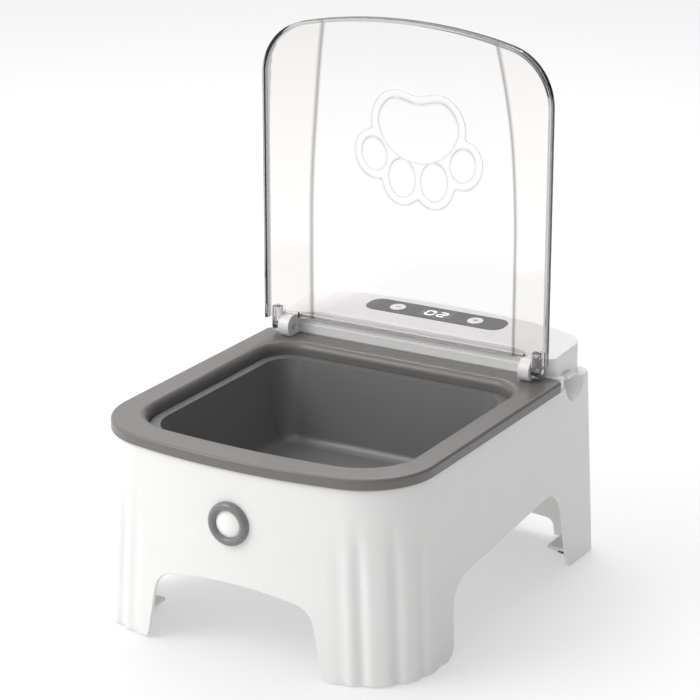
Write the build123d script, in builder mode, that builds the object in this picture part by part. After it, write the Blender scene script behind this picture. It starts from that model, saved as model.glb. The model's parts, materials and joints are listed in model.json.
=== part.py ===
"""Automatic pet feeder: a white shell on four legs, a grey rim with a lift-out bowl, a clear
lid driven by a small gearmotor, a control housing behind the lid, and a sensor in the front.

Units are millimetres, +Z is up and the front of the feeder faces -Y. The origin is the middle
of the footprint, on the floor. The lid is modelled open, standing upright on its hinge.
"""
import os
from math import acos, atan2, cos, degrees, pi, radians, sin, tan

from build123d import *

# ---------------------------------------------------------------- driving dimensions
# Body shell
BODY_WIDTH = 212.0          # across the walls at the floor
SIDE_LEAN = 6.0             # each side wall leans in by this much from floor to top
BODY_DEPTH = 263.6          # front apex to rear apex at the floor
BODY_HEIGHT = 115.5         # top of the shell
WALL = 2.4
FRONT_BOW = 14.8            # how far the front wall swells forward at its middle
REAR_BOW = 10.0
FRONT_RADIUS = 42.0
REAR_RADIUS = 12.0
FRONT_LEAN = 3.0            # the front wall leans back by this much from floor to top
WALL_LIFT = 0.8             # the walls stop this far above the floor; the pads touch it
DECK_EDGE = 1.5             # rounding of the shell's top edge
DISH_RADIUS = 13.0          # finger dishes in the shoulders behind the rim
DISH_SETBACK = 19.5         # from the rim's rear edge to a dish's centre
DISH_OUTSET = 3.0           # a dish's centre stands this far outside the wall
DISH_RISE = 1.0             # and this far above the shell's top

# Openings between the legs
FRONT_LEG_WIDTH = 48.5      # a front leg, seen from the front, at the floor
FRONT_LEG_SLOPE = 7.5       # how much wider it is where the arch's side turns over
FRONT_LEG_DEPTH = 50.6      # from the front line to the back of the front leg
FRONT_LEG_LEAN = 2.2        # how far that back edge leans rearwards on its way up
REAR_LEG_DEPTH = 39.8       # from the rear line to the front of the rear leg
REAR_LEG_LEAN = 9.0         # how far that front edge leans forwards on its way up
REAR_LEG_WIDTH = 31.0       # a rear leg, seen from behind
FRONT_ARCH_DROP = 9.2       # the front arch's top lies this far below the base plate
FRONT_ARCH_RISE = 6.5       # from the turn of its sides to its top
SIDE_ARCH_FRONT_DROP = 13.2     # the side arch's front end, below the base plate
SIDE_ARCH_REAR_DROP = 1.2       # and its rear end
REAR_ARCH_HEIGHT = 11.0
ARCH_RADIUS = 14.0
SIDE_ARCH_FRONT_RADIUS = 17.0
SIDE_ARCH_REAR_RADIUS = 20.0
FOOT_RADIUS = 4.0
SIDE_FOOT_RADIUS = 9.0

# Rim and bowl
RIM_SIDE_OVERHANG = 2.0     # how far the rim stands past the shell at each side
RIM_FRONT_OVERHANG = 1.8    # and at the front
RIM_THICKNESS = 6.3
RIM_REAR_RADIUS = 4.0
RIM_SKIN = 2.4              # the rim is hollow underneath
RIM_EDGE = 1.8              # rounding of its outer edge
MOUTH_EDGE = 5.0            # rounding into its mouth
THROAT_WALL = 2.2           # the sleeve under the mouth
LEDGE_THICKNESS = 2.0       # the ledge that carries the bowl
FLANGE_SIDE = 17.0          # rim width beside the bowl
FLANGE_FRONT = 14.5
FLANGE_REAR = 18.5
BOWL_CORNER = 34.0
BOWL_SEAT_DEPTH = 10.0      # the bowl's lip sits this far below the rim
BOWL_SEAT_WIDTH = 3.5
BOWL_LIP = 2.0
BOWL_WALL = 2.0
BOWL_DEPTH = 49.0
BOWL_DRAFT = 13.0           # the bowl's floor is smaller than its mouth by this on each side
BOWL_CLEARANCE = 0.4
BOWL_SEAT_GAP = 0.3
BOWL_FLOOR_RADIUS = 9.0

# Control housing behind the lid
HOUSING_INSET = 6.0         # inside the shell's side walls
HOUSING_DEPTH = 41.2        # from its front face to the ends of its rear face
HOUSING_WALL = 2.2
HOUSING_EDGE = 6.0
HOUSING_FRONT_HEIGHT = 20.5     # above the shell, at the front edge of the panel
HOUSING_TILT = 3.0              # the panel rises to the rear, degrees
HOUSING_SETBACK = 2.6           # inside the shell's rear wall
HOUSING_LEDGE = 12.0            # the shell's deck reaches this far under the housing
HOUSING_GAP = 1.5               # between the rim's rear edge and the housing
RIM_CLEARANCE = 0.4
WELL_INSET = 13.0               # the deck's opening under the housing, inside its sides
WELL_REAR_INSET = 5.0
WELL_RADIUS = 4.0
BAR_DEPTH = 7.2                 # the bar behind the rim, at the housing's foot
BAR_INSET = 0.3                 # its ends stand this far inside the shell's walls
STEP_HEIGHTS = (12.0, 18.0)     # tops of the two low steps in the housing's front face
STEP_DEPTHS = (2.0, 1.0)        # how far each stands forward
TAB_SIZE = (4.0, 11.0, 2.0)     # small tab at the foot of the right side
TAB_RISE = 2.0
PANEL_INSET = 29.0              # from the housing's side to the flat middle of its top
PANEL_FALL = 7.5                # how steeply the top falls away beside the panel, degrees
STRIP_LENGTH = 95.0
STRIP_WIDTH = 19.0
STRIP_THICKNESS = 1.6
STRIP_PROUD = 0.2               # the strip stands this far above the panel
STRIP_SETBACK = 30.0            # from the housing's front edge to the strip's centre line
STRIP_ROUNDING = 0.4            # corner radius, as a share of the strip's width
STRIP_LEDGE = 2.5               # the housing's ledge under the strip
STRIP_CLEARANCE = 0.1
BUTTON_DIAMETER = 10.2
BUTTON_SPACING = 54.0
BUTTON_TRAVEL = 0.6
BUTTON_PROUD = 0.5
BUTTON_CLEARANCE = 0.15
BUTTON_FLANGE = 12.4            # the flange that keeps a button under the strip
BUTTON_FLANGE_GAP = 0.3         # from the strip's underside to that flange
BUTTON_FLANGE_THICKNESS = 0.9
BUTTON_EDGE = 0.35
BUTTON_STEM = 4.0
BUTTON_STEM_LENGTH = 2.2
SWITCH_GAP = 0.3                # from a pressed stem to its switch
WINDOW_LENGTH = 21.0
WINDOW_WIDTH = 9.5
WINDOW_MARGIN = 0.5             # the display is smaller than its window, and under it, by this
BOARD_DEPTH = 9.0               # from the panel's surface to the control board
BOARD_LENGTH = 86.0
BOARD_WIDTH = 24.0
BOARD_CORNER = 1.5
SWITCH_SIZE = 6.0
PLUNGER_DIAMETER = 3.4
PLUNGER_HEIGHT = 0.6

# Lid and its hinge
HINGE_SETBACK = 8.3         # hinge axis in front of the rim's rear edge
LID_INSET = 5.5             # the lid's sides stand this far inside the rim's
LID_OVERHANG = 1.5          # the closed lid reaches this far past the rim's front
LID_WALL = 2.0
LID_SKIRT = 5.7             # from the hinge axis plane to the skirt's free edge
LID_BULGE = 8.0             # from the hinge axis plane to the middle panel's outside
LID_CORNER = 35.0
LID_START = 4.5             # the lid's hinge edge, from the axis
LID_EDGE_DROP = 0.2
LID_FALL_LENGTH = 70.0      # the middle panel falls towards the free edge over this length
LID_FREE_HEIGHT = 1.5       # its height over the hinge axis plane at the free edge
CREASE_INSET_HINGE = 26.5   # from the lid's side to the crease, at the hinge
CREASE_INSET_FREE = 38.5    # and at the free edge
EAR_WIDTH = 5.0
EAR_RADIUS = 4.5
EAR_INSET = 7.3             # from the lid's side to the middle of an ear
EAR_GAP = 0.5
EAR_HEIGHT = 12.0           # an ear's web runs this far up into the lid
LUG_WIDTH = 7.2
LUG_WALL = 1.4
LUG_ROOF = 1.1              # a lug's wall over the gear's room
LUG_RIM_GAP = 0.4           # from the rim's top to a lug's underside
LUG_REACH = 3.2             # how far a lug's top runs back over the housing
LUG_FALL = 1.8
LUG_CLEARANCE = 1.2
SHAFT_DIAMETER = 4.0
SHAFT_CLEARANCE = 0.05
SHAFT_OVERRUN = 0.6         # a hinge shaft stands this far out of its ear
SHAFT_INRUN = 0.4           # and this far in past its lug
BUSH_WALL = 1.0

# Drive train
GEAR_MODULE = 0.5
LID_GEAR_TEETH = 20
IDLER_TEETH = 16
PINION_TEETH = 20
IDLER_DIRECTION = -8.0      # from the hinge to the idler, degrees above the horizontal
PINION_DIRECTION = -10.0    # from the idler to the motor's gear
GEAR_ROOM = 0.4             # from the teeth's tips to the walls around them
GEAR_RIM_GAP = 0.7          # from the teeth's tips to the rim's top
GEAR_FACE = 3.2
GEAR_GAP = 0.9              # from the gears' faces to the motor's bracket
GEAR_BACKLASH = 0.14
PRESSURE_ANGLE = 20.0
MOTOR_SHAFT_DIAMETER = 3.0
IDLER_PIN_DIAMETER = 2.5
GEARBOX_LENGTH = 9.0
GEARBOX_DEPTH = 10.0
GEARBOX_HEIGHT = 12.0
MOTOR_LENGTH = 15.0
MOTOR_DIAMETER = 12.0
MOTOR_FLAT = 10.0
MOTOR_BOSS_DIAMETER = 4.0
MOTOR_BOSS_LENGTH = 1.5
GEARBOX_EDGE = 1.0
GEARBOX_BORE_DEPTH = 4.0
BRACKET_WALL = 2.0
BRACKET_FOOT = 1.6
BRACKET_FOOT_LENGTH = 24.0
BRACKET_SCREW = 2.0

# Sensor in the front wall
SENSOR_DROP = 31.8          # its centre, below the shell's top
BEZEL_DIAMETER = 25.6
BEZEL_PROUD = 3.6
BEZEL_SEAT = 0.9            # the ring sits this deep in the wall
BEZEL_CLEARANCE = 0.1
BEZEL_SIDE = 3.2            # from the ring's crown back to its outer edge
BEZEL_THROAT = 2.2          # from its crown back to the lens
LENS_DIAMETER = 15.6
LENS_SAG = 2.0              # how far the lens domes forward
LENS_FLANGE = 1.2
LENS_SETBACK = 0.4          # the lens' middle lies this far behind the ring's crown
LENS_CLEARANCE = 0.05
BARREL_DIAMETER = 20.0
BARREL_LENGTH = 9.0
BARREL_WALL = 1.3
BARREL_STEP = 2.25          # from the ring's seat to the shoulder behind the lens
NUT_THICKNESS = 3.0
NUT_GAP = 0.5
SENSOR_CAN_DIAMETER = 8.2
SENSOR_BOARD_INSET = 2.0

# Underside, feet and battery bay
BASE_THICKNESS = 2.2
BASE_GAP = 3.7              # from the base plate to the bowl's floor
BASE_CLEARANCE = 0.4
PAD_DIAMETER = 12.0
PAD_HEIGHT = 3.0
PAD_EDGE = 0.6
FRONT_PAD_INSET = (22.0, 24.0)  # from the side and the front line to a front pad's centre
REAR_PAD_INSET = (5.0, 6.0)     # from the walls to a rear pad's edge
CAP_THICKNESS = 2.0
CAP_MARGIN = 7.0            # a cap stops this far from an arch's foot
CAP_REAR_MARGIN = 5.0
CELL_DIAMETER = 14.2
CELL_LENGTH = 50.0
CELL_TIP_DIAMETER = 5.2
CELL_TIP_LENGTH = 1.5
BATTERY_BACK_GAP = 10.0
DOOR_THICKNESS = 1.8
DOOR_OVERLAP = 3.0
DOOR_CLEARANCE = 0.3
DOOR_GRIPS = 4
DOOR_GRIP_SIZE = (24.0, 1.4, 0.6)
DOOR_GRIP_PITCH = 4.0
RAIL_WIDTH = 3.0
RAIL_THICKNESS = 1.4
RAIL_REACH = 2.0            # how far a rail reaches under the door
SPRING_SPACE = 5.0          # at each end of a row of cells
CELL_GAP = 0.6
CONTACT_INSET = 3.2         # a contact plate is smaller than its cell by this
CONTACT_THICKNESS = 0.4
SPRING_DIAMETERS = (8.0, 6.4)
CASE_WALL = 1.6
CASE_GAP = 0.3
HEAD_POCKET = 2.2           # depth of the bosses that hold the base screws' heads
HEAD_CLEARANCE = 0.2
POCKET_WALL = 1.6

# Fasteners and boards
SCREW_DIAMETER = 3.0
SCREW_HEAD_DIAMETER = 5.6
SCREW_HEAD_HEIGHT = 2.0
BASE_SCREW_LENGTH = 9.0
RIM_SCREW_GRIP = 3.4            # how far a screw reaches into its boss
HOUSING_SCREW_GRIP = 7.0
BRACKET_SCREW_GAP = 0.4         # a bracket screw stops this far inside the deck
BOSS_DIAMETER = 7.0
BOSS_GAP = 0.8                  # from a boss to the wall beside it
FRONT_SCREW_SETBACK = 52.0      # from the front line to the front base screws
REAR_SCREW_SETBACK = 32.0       # from the rim's rear edge to the rear ones
RIM_SCREW_STEP = 18.0           # from a base screw to the rim screw beside it
BOARD_THICKNESS = 1.6
USB_WIDTH = 9.0
USB_HEIGHT = 3.2
USB_LENGTH = 7.4
USB_WALL = 0.4
USB_TONGUE = (6.7, 5.6, 0.7)
USB_OFFSET = 45.0
USB_DROP = 31.5                 # the inlet's centre, below the shell's top
USB_CLEARANCE = 0.2
INLET_SETBACK = 0.6             # the inlet's face lies this far inside the wall's outside
SHELF_SIZE = (30.0, 26.0)       # shelf under the charging board
POWER_BOARD_SIZE = (26.0, 20.0)
POWER_BOARD_GAP = 1.8           # from the wall to the board's edge

# Cutting forms reach this far past what they cut
PAST = 5.0

# ---------------------------------------------------------------- derived places
sensor_height = BODY_HEIGHT - SENSOR_DROP
lean_at_sensor = FRONT_LEAN * sensor_height / BODY_HEIGHT
sensor_reach = max(0.0, BEZEL_PROUD - lean_at_sensor)
rear_apex = (BODY_DEPTH + sensor_reach) / 2
front_apex = rear_apex - BODY_DEPTH
floor_front = front_apex + FRONT_BOW            # the front line at the floor, without its bow
rim_front = floor_front + FRONT_LEAN            # the same line under the rim
body_rear = rear_apex - REAR_BOW
half_floor = BODY_WIDTH / 2
half_top = half_floor - SIDE_LEAN

housing_half = half_top - HOUSING_INSET
housing_rear = body_rear - HOUSING_SETBACK
housing_front = housing_rear - HOUSING_DEPTH
panel_half = housing_half - PANEL_INSET
panel_z = BODY_HEIGHT + HOUSING_FRONT_HEIGHT
tilt = radians(HOUSING_TILT)

rim_half = half_top + RIM_SIDE_OVERHANG
rim_bottom = BODY_HEIGHT
rim_top = rim_bottom + RIM_THICKNESS
rim_rear = housing_front - HOUSING_GAP
rim_line = rim_front - RIM_FRONT_OVERHANG

mouth_half = rim_half - FLANGE_SIDE
mouth_front = rim_line + FLANGE_FRONT
mouth_bow = FRONT_BOW * 0.5
mouth_rear = rim_rear - FLANGE_REAR
seat_height = rim_top - BOWL_SEAT_DEPTH

bowl_lip_bottom = seat_height + BOWL_SEAT_GAP
bowl_floor = bowl_lip_bottom - BOWL_DEPTH
base_height = bowl_floor - BASE_GAP - BASE_THICKNESS
front_arch_height = base_height - FRONT_ARCH_DROP
front_arch_side = front_arch_height - FRONT_ARCH_RISE
side_arch_front_height = base_height - SIDE_ARCH_FRONT_DROP
side_arch_rear_height = base_height - SIDE_ARCH_REAR_DROP

hinge_y = rim_rear - HINGE_SETBACK
lid_gear_radius = GEAR_MODULE * LID_GEAR_TEETH / 2
lid_gear_tip = lid_gear_radius + GEAR_MODULE
hinge_z = rim_top + lid_gear_tip + GEAR_RIM_GAP
lug_radius = lid_gear_tip + GEAR_ROOM + LUG_ROOF
lid_half = rim_half - LID_INSET
lid_reach = hinge_y - (rim_line - FRONT_BOW) + LID_OVERHANG
lid_side_end = lid_reach - FRONT_BOW

deck_bottom = BODY_HEIGHT - WALL

ear_x = lid_half - EAR_INSET
lug_x = ear_x - EAR_WIDTH / 2 - EAR_GAP - LUG_WIDTH / 2
idler_radius = GEAR_MODULE * IDLER_TEETH / 2
pinion_radius = GEAR_MODULE * PINION_TEETH / 2
first_distance = lid_gear_radius + idler_radius
idler_y = hinge_y + first_distance * cos(radians(IDLER_DIRECTION))
idler_z = hinge_z + first_distance * sin(radians(IDLER_DIRECTION))
second_distance = idler_radius + pinion_radius
pinion_y = idler_y + second_distance * cos(radians(PINION_DIRECTION))
pinion_z = idler_z + second_distance * sin(radians(PINION_DIRECTION))
bracket_x = -lug_x + GEAR_FACE / 2 + GEAR_GAP
gearbox_x = bracket_x + BRACKET_WALL
bracket_screws_at = [(gearbox_x + share * BRACKET_FOOT_LENGTH, pinion_y) for share in (0.25, 0.75)]


def lean_share(height):
    """The share of the walls' lean that is reached at a height."""
    return height / BODY_HEIGHT


def end_line(start, end, bow):
    """One end of an outline: straight, or swelling outwards by a bow at its middle."""
    if bow == 0:
        return Line(start, end)
    middle = ((start[0] + end[0]) / 2, start[1] + bow)
    return ThreePointArc(start, middle, end)


def outline_on(plane, half, low, low_bow, high, high_bow, low_radius, high_radius):
    """An outline with straight sides, bowed ends and rounded corners, on a plane."""
    with BuildSketch(plane) as outline:
        with BuildLine():
            end_line((-half, low), (half, low), -low_bow)
            Line((half, low), (half, high))
            end_line((half, high), (-half, high), high_bow)
            Line((-half, high), (-half, low))
        make_face()
        corners = outline.vertices().sort_by(Axis.Y)
        if low_radius > 0:
            fillet(corners[:2], low_radius)
        corners = outline.vertices().sort_by(Axis.Y)
        if high_radius > 0:
            fillet(corners[-2:], high_radius)
    return outline.sketch


def plan_outline(height, *sizes):
    """The same outline, level, at a height."""
    return outline_on(Plane.XY.offset(height), *sizes)


def body_outline(height, inset=0.0):
    """The shell's plan at a height, moved inwards by an inset."""
    share = lean_share(height)
    return plan_outline(
        height,
        half_floor - SIDE_LEAN * share - inset,
        floor_front + FRONT_LEAN * share + inset,
        FRONT_BOW,
        body_rear - inset,
        REAR_BOW,
        FRONT_RADIUS - inset,
        REAR_RADIUS - inset,
    )


def mouth_outline(height, inset=0.0):
    """The rim's mouth at a height, moved inwards by an inset."""
    return plan_outline(
        height,
        mouth_half - inset,
        mouth_front + inset,
        mouth_bow,
        mouth_rear - inset,
        0.0,
        BOWL_CORNER - inset,
        BOWL_CORNER * 0.6 - inset * 0.6,
    )


def rim_outline(height, inset=0.0):
    """The rim's outer plan at a height, moved inwards by an inset."""
    return plan_outline(
        height,
        rim_half - inset,
        rim_line + inset,
        FRONT_BOW,
        rim_rear - inset,
        0.0,
        FRONT_RADIUS + RIM_FRONT_OVERHANG - inset,
        RIM_REAR_RADIUS - inset * 0.5,
    )


def front_wall_y(height, x=0.0):
    """Where the outside of the front wall is, at a height and a distance from the middle."""
    share = lean_share(height)
    bow = FRONT_BOW * (1 - (x / (half_floor - SIDE_LEAN * share)) ** 2)
    return floor_front + FRONT_LEAN * share - bow


def rear_wall_y(x):
    """Where the outside of the rear wall is, at a distance from the middle."""
    return body_rear + REAR_BOW * (1 - (x / half_floor) ** 2)


def across(x, y, z):
    """A plane that faces +X, with its own axes along Y and Z."""
    return Plane(origin=(x, y, z), x_dir=(0, 1, 0), z_dir=(1, 0, 0))


# ---------------------------------------------------------------- body shell
base_top = base_height + BASE_THICKNESS
boss_x = half_top - WALL - BOSS_DIAMETER / 2 - BOSS_GAP
boss_front = rim_front + FRONT_SCREW_SETBACK
boss_rear = rim_rear - REAR_SCREW_SETBACK
base_screws_at = [(side * boss_x, y) for side in (-1, 1) for y in (boss_front, boss_rear)]
rim_screws_at = [
    (side * boss_x, y)
    for side in (-1, 1)
    for y in (boss_front + RIM_SCREW_STEP, boss_rear - RIM_SCREW_STEP)
]
housing_screws_at = [
    (side * x, y)
    for side in (-1, 1)
    for x, y in (
        (housing_half - HOUSING_WALL - BOSS_DIAMETER / 2 - 2 * BOSS_GAP, housing_rear - REAR_RADIUS),
        (panel_half / 2, housing_front + HOUSING_WALL + BOSS_DIAMETER / 2 + BOSS_GAP),
    )
]
sensor_y = front_wall_y(sensor_height)
bezel_seat = sensor_y + BEZEL_SEAT
dish_y = rim_rear + DISH_SETBACK
dish_x = half_top + DISH_OUTSET
dish_z = BODY_HEIGHT + DISH_RISE

front_arch_half = half_floor - FRONT_LEG_WIDTH
front_arch_top_half = front_arch_half - FRONT_LEG_SLOPE
rear_arch_half = half_floor - REAR_LEG_WIDTH
side_start = rim_front + FRONT_LEG_DEPTH
side_end = body_rear - REAR_LEG_DEPTH
usb_wall_y = rear_wall_y(USB_OFFSET)
usb_z = BODY_HEIGHT - USB_DROP
usb_shelf_top = usb_z - USB_HEIGHT / 2 - BOARD_THICKNESS

with BuildPart() as body_shell:
    loft([body_outline(0), body_outline(BODY_HEIGHT)], ruled=True)
    fillet(body_shell.faces().sort_by(Axis.Z)[-1].edges(), DECK_EDGE)
    # hollow inside, open below and closed above by the deck
    loft([body_outline(0, WALL), body_outline(deck_bottom, WALL)], ruled=True, mode=Mode.SUBTRACT)
    # finger dishes in the shoulders behind the rim
    with Locations((dish_x, dish_y, dish_z), (-dish_x, dish_y, dish_z)):
        Sphere(DISH_RADIUS + WALL)
    loft([body_outline(0), body_outline(BODY_HEIGHT)], ruled=True, mode=Mode.INTERSECT)
    with Locations((dish_x, dish_y, dish_z), (-dish_x, dish_y, dish_z)):
        Sphere(DISH_RADIUS, mode=Mode.SUBTRACT)
    # the mouth under the rim, and the way up into the control housing
    extrude(mouth_outline(deck_bottom - 1, -THROAT_WALL - 1), amount=WALL + 2, mode=Mode.SUBTRACT)
    housing_well = plan_outline(
        deck_bottom - 1,
        housing_half - WELL_INSET,
        housing_front + HOUSING_LEDGE,
        0.0,
        housing_rear - WELL_REAR_INSET,
        REAR_BOW,
        WELL_RADIUS,
        REAR_RADIUS - WELL_REAR_INSET,
    )
    extrude(housing_well, amount=WALL + 2, mode=Mode.SUBTRACT)
    # opening between the front legs
    with BuildSketch(Plane.XZ.offset(-front_apex + PAST)) as front_arch:
        with BuildLine():
            Polyline(
                (front_arch_top_half, front_arch_side),
                (front_arch_half, WALL_LIFT),
                (half_floor, WALL_LIFT),
                (half_floor, -PAST),
                (-half_floor, -PAST),
                (-half_floor, WALL_LIFT),
                (-front_arch_half, WALL_LIFT),
                (-front_arch_top_half, front_arch_side),
            )
            ThreePointArc(
                (-front_arch_top_half, front_arch_side),
                (0, front_arch_height),
                (front_arch_top_half, front_arch_side),
            )
        make_face()
        arch_tops = front_arch.vertices().group_by(Axis.Y)[-1]
        fillet(arch_tops, ARCH_RADIUS)
        arch_feet = front_arch.vertices().filter_by(
            lambda v: abs(abs(v.X) - front_arch_half) < 0.01
        )
        fillet(arch_feet, FOOT_RADIUS)
    extrude(amount=-(side_start - front_apex), mode=Mode.SUBTRACT)
    # openings between the legs at the sides
    front_top = (side_start + FRONT_LEG_LEAN, side_arch_front_height)
    rear_top = (side_end - REAR_LEG_LEAN, side_arch_rear_height)
    with BuildSketch(across(-half_floor - PAST, 0, 0)) as side_arch:
        with BuildLine():
            Polyline(
                (side_start, WALL_LIFT),
                front_top,
                rear_top,
                (side_end, WALL_LIFT),
                (side_end + 3 * PAST, WALL_LIFT),
                (side_end + 3 * PAST, -PAST),
                (side_start - 3 * PAST, -PAST),
                (side_start - 3 * PAST, WALL_LIFT),
                close=True,
            )
        make_face()
        for place, radius in (
            (rear_top, SIDE_ARCH_REAR_RADIUS),
            (front_top, SIDE_ARCH_FRONT_RADIUS),
            ((side_end, WALL_LIFT), FOOT_RADIUS),
            ((side_start, WALL_LIFT), SIDE_FOOT_RADIUS),
        ):
            fillet(side_arch.vertices().sort_by_distance(Vector(*place, 0))[:1], radius)
    extrude(amount=BODY_WIDTH + 2 * PAST, mode=Mode.SUBTRACT)
    # low opening between the rear legs
    with BuildSketch(Plane.XZ.offset(-rear_apex - PAST)) as rear_arch:
        with Locations((0, REAR_ARCH_HEIGHT / 2 - PAST)):
            Rectangle(2 * rear_arch_half, REAR_ARCH_HEIGHT + 2 * PAST)
        fillet(rear_arch.vertices().group_by(Axis.Y)[-1], REAR_ARCH_HEIGHT / 2)
    extrude(amount=REAR_LEG_DEPTH, mode=Mode.SUBTRACT)
    # trim every wall to the same height above the floor
    with Locations((0, 0, WALL_LIFT / 2)):
        Box(BODY_WIDTH + PAST, BODY_DEPTH + PAST, WALL_LIFT, mode=Mode.SUBTRACT)
    # bosses for the base plate's screws, a shelf for the charging board
    with BuildSketch(Plane.XY.offset(base_top)):
        with Locations(*base_screws_at):
            Circle(BOSS_DIAMETER / 2)
            Circle(SCREW_DIAMETER / 2, mode=Mode.SUBTRACT)
    extrude(amount=deck_bottom - base_top + WALL / 4)
    with Locations((USB_OFFSET, usb_wall_y - WALL * 0.75, usb_shelf_top)):
        Box(*SHELF_SIZE, WALL, align=(Align.CENTER, Align.MAX, Align.MAX))
    # holes through the deck for the rim's and the housing's screws
    with Locations((0, 0, deck_bottom)):
        with Locations(*rim_screws_at, *housing_screws_at):
            Cylinder(SCREW_DIAMETER / 2, 4 * WALL, mode=Mode.SUBTRACT)
        with Locations(*bracket_screws_at):
            Cylinder(BRACKET_SCREW / 2, 4 * WALL, mode=Mode.SUBTRACT)
    # seat and hole for the sensor
    with BuildSketch(Plane.XZ.offset(-bezel_seat)):
        with Locations((0, sensor_height)):
            Circle(BEZEL_DIAMETER / 2 + BEZEL_CLEARANCE)
    extrude(amount=2 * PAST, mode=Mode.SUBTRACT)
    with BuildSketch(Plane.XZ.offset(-bezel_seat - PAST)):
        with Locations((0, sensor_height)):
            Circle(BARREL_DIAMETER / 2 + BEZEL_CLEARANCE)
    extrude(amount=4 * PAST, mode=Mode.SUBTRACT)
    # charging inlet in the rear wall
    with BuildSketch(Plane.XZ.offset(-rear_apex - PAST)):
        with Locations((USB_OFFSET, usb_z)):
            SlotOverall(USB_WIDTH + 2 * USB_CLEARANCE, USB_HEIGHT + 2 * USB_CLEARANCE)
    extrude(amount=5 * PAST, mode=Mode.SUBTRACT)

body_shell.part.label = "body_shell"

with BuildPart() as leg_caps:
    # a cap pressed into each leg, above its pad
    cap_top = PAD_HEIGHT + CAP_THICKNESS
    loft([body_outline(PAD_HEIGHT, WALL), body_outline(cap_top, WALL)], ruled=True)
    for place, width, depth in (
        (0, front_arch_half + CAP_MARGIN, BODY_DEPTH),
        ((side_start + side_end) / 2, half_floor, (side_end - side_start) / 2 + CAP_MARGIN),
        (rear_apex, rear_arch_half + CAP_REAR_MARGIN, BODY_DEPTH / 2),
    ):
        with Locations((0, place, PAD_HEIGHT)):
            Box(2 * width, 2 * depth, 4 * CAP_THICKNESS, mode=Mode.SUBTRACT)
leg_caps.part.label = "leg_caps"

# ---------------------------------------------------------------- rim and bowl
with BuildPart() as bowl_frame:
    extrude(rim_outline(rim_bottom), amount=RIM_THICKNESS)
    fillet(bowl_frame.faces().sort_by(Axis.Z)[-1].edges(), RIM_EDGE)
    # hollow underneath, then the sleeve and the ledge that carries the bowl
    extrude(rim_outline(rim_bottom, RIM_SKIN), amount=RIM_THICKNESS - RIM_SKIN, mode=Mode.SUBTRACT)
    sleeve_bottom = seat_height - LEDGE_THICKNESS
    extrude(mouth_outline(sleeve_bottom, -THROAT_WALL), amount=rim_top - RIM_SKIN / 2 - sleeve_bottom)
    with BuildSketch(Plane.XY.offset(rim_bottom)):
        with Locations(*rim_screws_at):
            Circle(BOSS_DIAMETER / 2)
    extrude(amount=RIM_THICKNESS - RIM_SKIN / 2)
    extrude(mouth_outline(seat_height), amount=RIM_THICKNESS + BOWL_SEAT_DEPTH, mode=Mode.SUBTRACT)
    extrude(mouth_outline(sleeve_bottom - 1, BOWL_SEAT_WIDTH), amount=BODY_HEIGHT, mode=Mode.SUBTRACT)
    mouth_edges = bowl_frame.edges().filter_by_position(Axis.Z, rim_top - 0.01, rim_top + 0.01)
    inner_edges = mouth_edges.filter_by(
        lambda e: abs(e.center().X) < mouth_half + 1 and mouth_front - 10 < e.center().Y < mouth_rear + 1
    )
    fillet(inner_edges, MOUTH_EDGE)
    with Locations((0, 0, rim_bottom)):
        with Locations(*rim_screws_at):
            Cylinder(SCREW_DIAMETER / 2, 2 * (RIM_THICKNESS - RIM_SKIN), mode=Mode.SUBTRACT)
bowl_frame.part.label = "bowl_frame"

bowl_inset = BOWL_SEAT_WIDTH + BOWL_CLEARANCE


def bowl_form(inset, floor, top):
    """The bowl's tapering body, moved inwards by an inset."""
    with BuildPart() as form:
        loft(
            [
                mouth_outline(floor, bowl_inset + BOWL_DRAFT + inset),
                mouth_outline(top, bowl_inset + inset),
            ],
            ruled=True,
        )
        fillet(form.faces().sort_by(Axis.Z)[0].edges(), BOWL_FLOOR_RADIUS - inset)
    return form.part


with BuildPart() as bowl:
    add(bowl_form(0, bowl_floor, bowl_lip_bottom + BOWL_LIP / 2))
    extrude(mouth_outline(bowl_lip_bottom, BOWL_CLEARANCE), amount=BOWL_LIP)
    fillet(bowl.faces().sort_by(Axis.Z)[-1].edges(), BOWL_LIP * 0.4)
    add(bowl_form(BOWL_WALL, bowl_floor + BOWL_WALL, bowl_lip_bottom + BOWL_LIP + 3), mode=Mode.SUBTRACT)
bowl.part.label = "bowl"

# ---------------------------------------------------------------- control housing
bush_radius = SHAFT_DIAMETER / 2 + SHAFT_CLEARANCE + BUSH_WALL
strip_under = STRIP_THICKNESS - STRIP_PROUD
lug_floor = rim_top + LUG_RIM_GAP


def panel_plane(depth=0.0):
    """The plane of the housing's flat top, lowered by a depth; its Y runs up to the rear."""
    top = Plane(origin=(0, housing_front, panel_z), x_dir=(1, 0, 0), z_dir=(0, -sin(tilt), cos(tilt)))
    return top.offset(-depth)


def strip_plane(depth=0.0):
    """The panel's plane with its origin at the middle of the grey strip."""
    top = panel_plane()
    middle = top.origin + top.y_dir * STRIP_SETBACK
    return Plane(origin=middle, x_dir=(1, 0, 0), z_dir=top.z_dir).offset(-depth)


def fall_plane(side, depth=0.0):
    """The plane of the top beside the panel, which falls away to one side."""
    fall = radians(PANEL_FALL)
    normal = (side * sin(fall), -sin(tilt) * cos(fall), cos(tilt) * cos(fall))
    edge = (side * panel_half, housing_front, panel_z)
    return Plane(origin=edge, x_dir=(0, 1, tan(tilt)), z_dir=normal).offset(-depth)


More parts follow.
